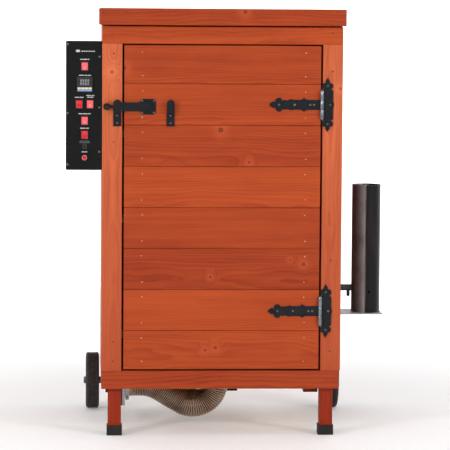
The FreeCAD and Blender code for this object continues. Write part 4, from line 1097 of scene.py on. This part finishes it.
plates("knob_pointer", [(knob_centre + Vector((-0.0018, -0.0137, 0.0018)), 0.0011, 0.0052, RAISED,
                         {"across": Vector((1, 0, 1)).normalized(),
                          "up": Vector((-1, 0, 1)).normalized()})],
       BLACK_PLASTIC, "dial", "black_plastic")
GRIP_RADIUS = KNOB_RADIUS - 0.0024
plates("knob_grips", [(knob_centre + Vector((GRIP_RADIUS * math.cos(turn), -0.0072,
                                             GRIP_RADIUS * math.sin(turn))),
                       0.0009, 0.0076, 0.0005,
                       {"across": Vector((-math.sin(turn), 0, math.cos(turn))), "up": (0, 1, 0)})
                      for turn in turns(18)],
       RED_PLAIN, "dial", "red_plastic")


# --- smoke generator ---

TUBE_LOW, TUBE_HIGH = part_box("smoke_tube")
TUBE_RADIUS = (TUBE_HIGH.x - TUBE_LOW.x) / 2
TUBE_AXIS = Vector((TUBE_LOW.x + TUBE_RADIUS, TUBE_LOW.y + TUBE_RADIUS, 0))


def tube_seam():
    """A wavering weld bead up the back of the tube."""
    turn, steps, from_foot, from_rim = math.radians(118), 150, 0.003, 0.005
    out = Vector((math.cos(turn), math.sin(turn), 0))
    aside = Vector((-math.sin(turn), math.cos(turn), 0))
    chance = random.Random(61)
    low, long = TUBE_LOW.z + from_foot, TUBE_HIGH.z - TUBE_LOW.z - (from_foot + from_rim)
    rings = []
    for step in range(steps + 1):
        rise = 0.0005 + 0.0002 * math.sin(step * 1.9) + chance.uniform(-0.00008, 0.00008)
        wide = 0.0019 + chance.uniform(-0.0002, 0.0002)
        middle = Vector((TUBE_AXIS.x, TUBE_AXIS.y, low + long * step / steps))
        middle += out * (TUBE_RADIUS - CLOSE)
        rings.append([middle + aside * wide * math.cos(angle) + out * rise * 2 * math.sin(angle)
                      for angle in (math.pi * part / 6 for part in range(7))])
    seam = Skin()
    seam.loft(rings)
    seam.piece("tube_seam", TUBE_STEEL, "root", "stainless_steel")


def smoke_generator():
    for node, width in (("smoke_tube", 0.0004), ("smoke_tube_lid", 0.0006),
                        ("smoke_outlet_pipe", 0.0003)):
        dress(TUBE_STEEL, width, node)
    dress(GREY_SHEET, 0.0007, "generator_shelf")
    for name, level, section in (
            ("tube_top_bead", TUBE_HIGH.z, [(-0.004, -CLOSE), (-0.0035, 0.00049), (-0.0015, 0.0007),
                                            (-0.0003, 0.00035), (-0.0003, -CLOSE)]),
            ("tube_foot_weld", TUBE_LOW.z, [(0.0, -CLOSE), (0.0, 0.0016), (0.0012, 0.0009),
                                            (0.002, -CLOSE)])):
        ring_lathe(name, [(level + up, TUBE_RADIUS + out) for up, out in section], TUBE_AXIS,
                   (0, 0, 1), TUBE_STEEL, "root", "stainless_steel", 72)
    tube_seam()
    wall_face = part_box("right_wall_boards")[1].x
    ring_lathe("outlet_wall_flange", ring_profile(0.0102, 0.019, 0.0016),
               (wall_face, PIPE_MIDDLE.y, PIPE_MIDDLE.z), (1, 0, 0), ZINC, "root",
               "stainless_steel", 56)


def ring_profile(inner, outer, thick):
    """A washer's section with rounded outer edges."""
    soft = thick * 0.4
    return [(0.0, inner), (0.0, outer), (thick - soft, outer),
            (thick - soft * 0.3, outer - soft * 0.3), (thick, outer - soft), (thick, inner)]


def shelf_bolts():
    """Two bolts through the shelf's flange, and one in its top by the tube."""
    low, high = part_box("generator_shelf")
    face = low.x + 0.003
    middle = (low.y + high.y) / 2
    for name, y in (("front", middle - 0.042), ("back", middle + 0.042)):
        bolt(f"{name}_shelf_bolt", (face, y, low.z + 0.014), (1, 0, 0), 0.0055, 0.0042)
    bolt("shelf_top_bolt", (low.x + 0.02, middle - 0.045, high.z), (0, 0, 1), 0.0045, 0.0035)


def bolt(name, place, axis, radius, high):
    """A hexagon head on a washer."""
    ring_lathe(name + "_washer", ring_profile(radius * 0.5, radius * 1.5, 0.0012), place, axis,
               ZINC, "root", "zinc_steel", 32)
    head = Vector(place) + Vector(axis).normalized() * 0.0011
    softened(lathe(name, [(0.0, radius), (high * 0.85, radius), (high, radius * 0.86)], head, axis,
                   ZINC, "root", "zinc_steel", 6), 0.0003)


smoke_generator()
shelf_bolts()


# --- fan, air hose and heater ---

def hose_route():
    """Stations along the hose's middle line, as (place, direction), in the plane of its bends."""
    start = Vector((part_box("fan_adapter_plate")[0].x + 0.008, HOSE_Y, FAN_MIDDLE_Z))
    end = Vector((HEATER_MIDDLE_X, HOSE_Y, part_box("heater_box")[0].z + 0.014))
    drop, drop_radius, slope, rise_radius = math.radians(31), 0.12, 0.076, 0.072
    level = end.x - start.x - (drop_radius * math.sin(drop) + slope * math.cos(drop)
                               + rise_radius * (math.sin(drop) + 1))
    spacing = 0.001
    place, heading, route = start.copy(), 0.0, []
    for length, bend in ((level, 0.0), (drop_radius * drop, -1 / drop_radius), (slope, 0.0),
                         (rise_radius * (drop + math.pi / 2), 1 / rise_radius)):
        steps = round(length / spacing)
        for _ in range(steps):
            stride = length / steps
            heading += bend * stride / 2
            ahead = Vector((math.cos(heading), 0, math.sin(heading)))
            route.append((place.copy(), ahead))
            place += ahead * stride
            heading += bend * stride / 2
    up = Vector((0, 0, 1))
    steps = max(2, round((end.z - place.z) / spacing))
    stride = (end.z - place.z) / steps
    route += [(place + up * stride * step, up) for step in range(steps + 1)]
    return route


def air_hose():
    """A corrugated duct: a rib every 6 mm, smooth where a clamp holds it, dented here and there,
    and bunched up inside its last bend."""
    route = hose_route()
    pitch, outer, valley, held = 6, 0.0398, 0.0026, 22
    lowest = min(range(len(route)), key=lambda index: route[index][0].z)
    bunched, bunched_reach = 0.014, 70
    chance = random.Random(71)
    dents = [(chance.uniform(0, 2 * math.pi), chance.uniform(0.15, 0.85) * len(route),
              chance.uniform(0.0006, 0.0014)) for _ in range(16)]
    around_count = 72
    side, outside = Vector((0, 1, 0)), []
    for index, (place, ahead) in enumerate(route):
        other = ahead.cross(side)
        phase = index / pitch
        rib = abs(math.sin(math.pi * phase)) ** 0.8
        held_here = index < held or index > len(route) - held
        nearby = max(0.0, 1 - abs(index - lowest) / bunched_reach)
        swell = bunched * nearby * nearby * (3 - 2 * nearby)
        ring = []
        for turn in turns(around_count):
            sink = 0.0
            for angle, middle, deep in dents:
                apart = math.cos(turn - angle)
                if apart > 0.8 and abs(index - middle) < 14:
                    sink += deep * (apart - 0.8) / 0.2 * (1 - abs(index - middle) / 14)
            radius = outer if held_here else outer - valley * (1 - rib) - sink
            radius += swell * max(0.0, math.sin(turn)) ** 2
            ring.append(place + radius * (side * math.cos(turn) + other * math.sin(turn)))
        outside.append(ring)
    bore = outer - 0.0018 - valley * 0.2
    inside = [[place + bore * (side * math.cos(turn) + ahead.cross(side) * math.sin(turn))
               for turn in turns(around_count)] for place, ahead in (route[0], route[-1])]
    skin = Skin()
    skin.loft([inside[0]] + outside + [inside[1]], False)
    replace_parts(skin.piece("air_hose_skin", DUCT, "root", "aluminium_duct", 80), "air_hose")


fan_low, fan_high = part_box("fan_housing")
HOSE_Y, FAN_MIDDLE_Z = (fan_low.y + fan_high.y) / 2, (fan_low.z + fan_high.z) / 2
HEATER_MIDDLE_X = sum(corner.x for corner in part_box("heater_box")) / 2
air_hose()
for material, width, node in ((ZINC, 0.0005, "hose_clamps"), (BLACK_PLASTIC, 0.0014, "fan_housing"),
                              (BLACK_PLASTIC, 0.0004, "fan_rotor"),
                              (ZINC, 0.0007, "fan_adapter_plate"),
                              (STAINLESS, 0.0006, "heater_box"),
                              (TUBE_STEEL, None, "heating_element")):
    dress(material, width, node)
FAN_SCREW_IN = 0.0075
for side, y in (("front", fan_low.y + FAN_SCREW_IN), ("back", fan_high.y - FAN_SCREW_IN)):
    for level, z in (("low", fan_low.z + FAN_SCREW_IN), ("high", fan_high.z - FAN_SCREW_IN)):
        lathe(f"fan_{side}_{level}_screw", [(0.0, 0.004), (0.0012, 0.0038), (0.0022, 0.0026),
                                            (0.0026, 0.001)],
              (fan_low.x, y, z), (-1, 0, 0), ZINC, "root", "zinc_steel", 24)
clamp_low, clamp_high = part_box("hose_clamps")
for name, place, axis in (
        ("fan", (clamp_low.x + 0.006, HOSE_Y, clamp_low.z + 0.0035), (0, -1, 0)),
        ("heater", (HEATER_MIDDLE_X, clamp_low.y + 0.0035, clamp_high.z - 0.006), (1, 0, 0))):
    lathe(name + "_clamp_screw", [(-0.011, 0.0028), (0.009, 0.0028), (0.009, 0.004),
                                  (0.013, 0.004), (0.0134, 0.0034)],
          place, axis, ZINC, "root", "zinc_steel", 24)


# --- wheels, axle and feet ---

def wheel(side, sign):
    """Ribs and a hub collar on a moulded rim, and moulded rings on the tyre's side."""
    low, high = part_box(f"{side}_wheel_rim")
    middle = Vector(((low.x + high.x) / 2, (low.y + high.y) / 2, (low.z + high.z) / 2))
    body = f"{side}_wheel"
    web, hub, rim, half = 0.004, 0.0178, 0.0575, (high.x - low.x) / 2
    soft = 0.0012
    ribs = Skin()
    for face in (-1, 1):
        for turn in turns(6):
            out = Vector((0, math.cos(turn), math.sin(turn)))
            aside = Vector((0, -math.sin(turn), math.cos(turn)))
            rings = []
            for reach, deep, wide in ((hub, half - 0.003, 0.0048),
                                      (hub * 1.6, half - 0.008, 0.0038),
                                      (rim * 0.85, half - 0.011, 0.0034),
                                      (rim, half - 0.006, 0.0042)):
                section = ((-wide - soft, web * 0.9), (-wide, deep - soft), (-wide + soft, deep),
                           (wide - soft, deep), (wide, deep - soft), (wide + soft, web * 0.9))
                ring = [middle + out * reach + aside * across + Vector((face * rise, 0, 0))
                        for across, rise in section]
                rings.append(ring if face > 0 else ring[::-1])
            ribs.loft(rings)
    ribs.piece(body + "_ribs", RIM, body, "rim_plastic")
    for face in (-1, 1):
        flank = middle + Vector((face * (half - CLOSE), 0, 0))
        for name, inner, outer in (("inner", 0.069, 0.0715), ("outer", 0.0765, 0.0785)):
            ring_lathe(f"{body}_{name}_ring_{face + 1}",
                       [(0.0, inner), (0.0007, inner + 0.0006), (0.0007, outer - 0.0006),
                        (0.0, outer)], flank, (face, 0, 0), TYRE, body, "tyre_rubber", 72)
    dress(RIM, 0.0008, f"{side}_wheel_rim")
    dress(TYRE, None, f"{side}_tyre")
    cap_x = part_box("axle")[0 if sign < 0 else 1].x
    lathe(f"{side}_axle_cap",
          [(-0.001, 0.0108), (0.0006, 0.0104), (0.0012, 0.0085), (0.0014, 0.004)],
          (cap_x - sign * CLOSE, middle.y, middle.z), (sign, 0, 0), SCREW, "root", "zinc_steel", 48)


for side, sign in SIDES.items():
    wheel(side, sign)
dress(SCREW, 0.0006, "axle")
dress(IRON, 0.0007, "axle_brackets")
dress(RUBBER, 0.0022, "foot_caps")


# --- rack, tray and vent ---

dress(STAINLESS, None, "wire_rack")
dress(STAINLESS, 0.0008, "drip_tray")
dress(ZINC, 0.0006, "vent_frame", "vent_damper")
VENT_PLATE, VENT_SCREW_OUT = 0.002, VENT_HALF - 0.008
for name, across in SIDES.items():
    for level, up in (("low", -1), ("high", 1)):
        place = (VENT_MIDDLE.x + across * VENT_SCREW_OUT, vent_low.y + VENT_PLATE - CLOSE,
                 VENT_MIDDLE.z + up * VENT_SCREW_OUT)
        lathe(f"vent_{name}_{level}_screw", [(0.0, 0.0038), (0.0003, 0.0037), (0.0004, 0.003)],
              place, (0, 1, 0), SCREW, "root", "zinc_steel", 24)


# --- stage, light and camera ---

def stage():
    """A pale round floor that curves up into a wall, brighter behind the object."""
    inner, sweep, top, segments = 22.0, 3.0, 17.5, 96
    profile = [(0.0, 0.0), (0.5, 0.0), (3.0, 0.0), (inner, 0.0)]
    profile += [(inner + sweep * math.sin(turn), sweep - sweep * math.cos(turn))
                for turn in (math.radians(10 * step) for step in range(1, 10))]
    profile.append((inner + sweep, top))
    skin = Skin()
    skin.loft([[Vector((radius * math.cos(turn), radius * math.sin(turn), level))
                for turn in turns(segments)] for radius, level in profile], False)
    floor = skin.thing("floor")
    shader = Shader("floor_paint", 0.7, Base_Color=(*rgb(244, 244, 244), 1.0),
                    Emission_Color=(1.0, 1.0, 1.0, 1.0))
    x, y, z = shader.split(shader.place())
    away = shader.vector("LENGTH", shader.join(x, y, 0.0))
    behind = shader.span(y, -1.5, 1.5)
    glow = shader.times(shader.span(away, 0.9, 4.0, 0.0, 0.75), behind)
    shader.set(Emission_Strength=shader.plus(glow, 0.12))
    floor.data.materials.append(shader.material)
    floor.data.shade_smooth()


def area_light(name, place, aim, size, power):
    light = bpy.data.lights.new(name, "AREA")
    light.shape, light.size, light.size_y = "RECTANGLE", *size
    light.energy = power
    lamp = bpy.data.objects.new(name, light)
    lamp.location = place
    lamp.rotation_euler = (Vector(aim) - Vector(place)).to_track_quat("-Z", "Y").to_euler()
    bpy.context.scene.collection.objects.link(lamp)


def camera():
    """A long lens a little left of the object's middle and above it, nearly level."""
    data = bpy.data.cameras.new("camera")
    data.lens, data.sensor_width, data.shift_y = 191.3, 36.0, -0.08
    view = bpy.data.objects.new("camera", data)
    place = Vector((-0.4297, -7.435, 1.26))
    yaw, pitch, roll = -0.058, -0.0716, 0.007
    turn = Matrix.Rotation(yaw, 4, "Z") @ Matrix.Rotation(math.pi / 2 + pitch, 4, "X")
    view.matrix_world = Matrix.Translation(place) @ turn @ Matrix.Rotation(roll, 4, "Z")
    bpy.context.scene.collection.objects.link(view)
    bpy.context.scene.camera = view


def world():
    made = bpy.data.worlds.new("studio")
    made.use_nodes = True
    background = made.node_tree.nodes["Background"]
    background.inputs["Color"].default_value = (1.0, 1.0, 1.0, 1.0)
    background.inputs["Strength"].default_value = 0.3
    bpy.context.scene.world = made


bpy.context.scene.view_settings.view_transform = "Standard"
stage()
world()
camera()
area_light("left_softbox", (-2.9, -3.3, 1.7), (0, 0, 0.65), (0.45, 0.6), 60)
area_light("right_softbox", (3.1, -3.1, 1.7), (0, 0, 0.65), (0.45, 0.6), 54)
area_light("top_softbox", (0, -0.6, 3.6), (0, 0, 0.6), (2.4, 2.4), 30)
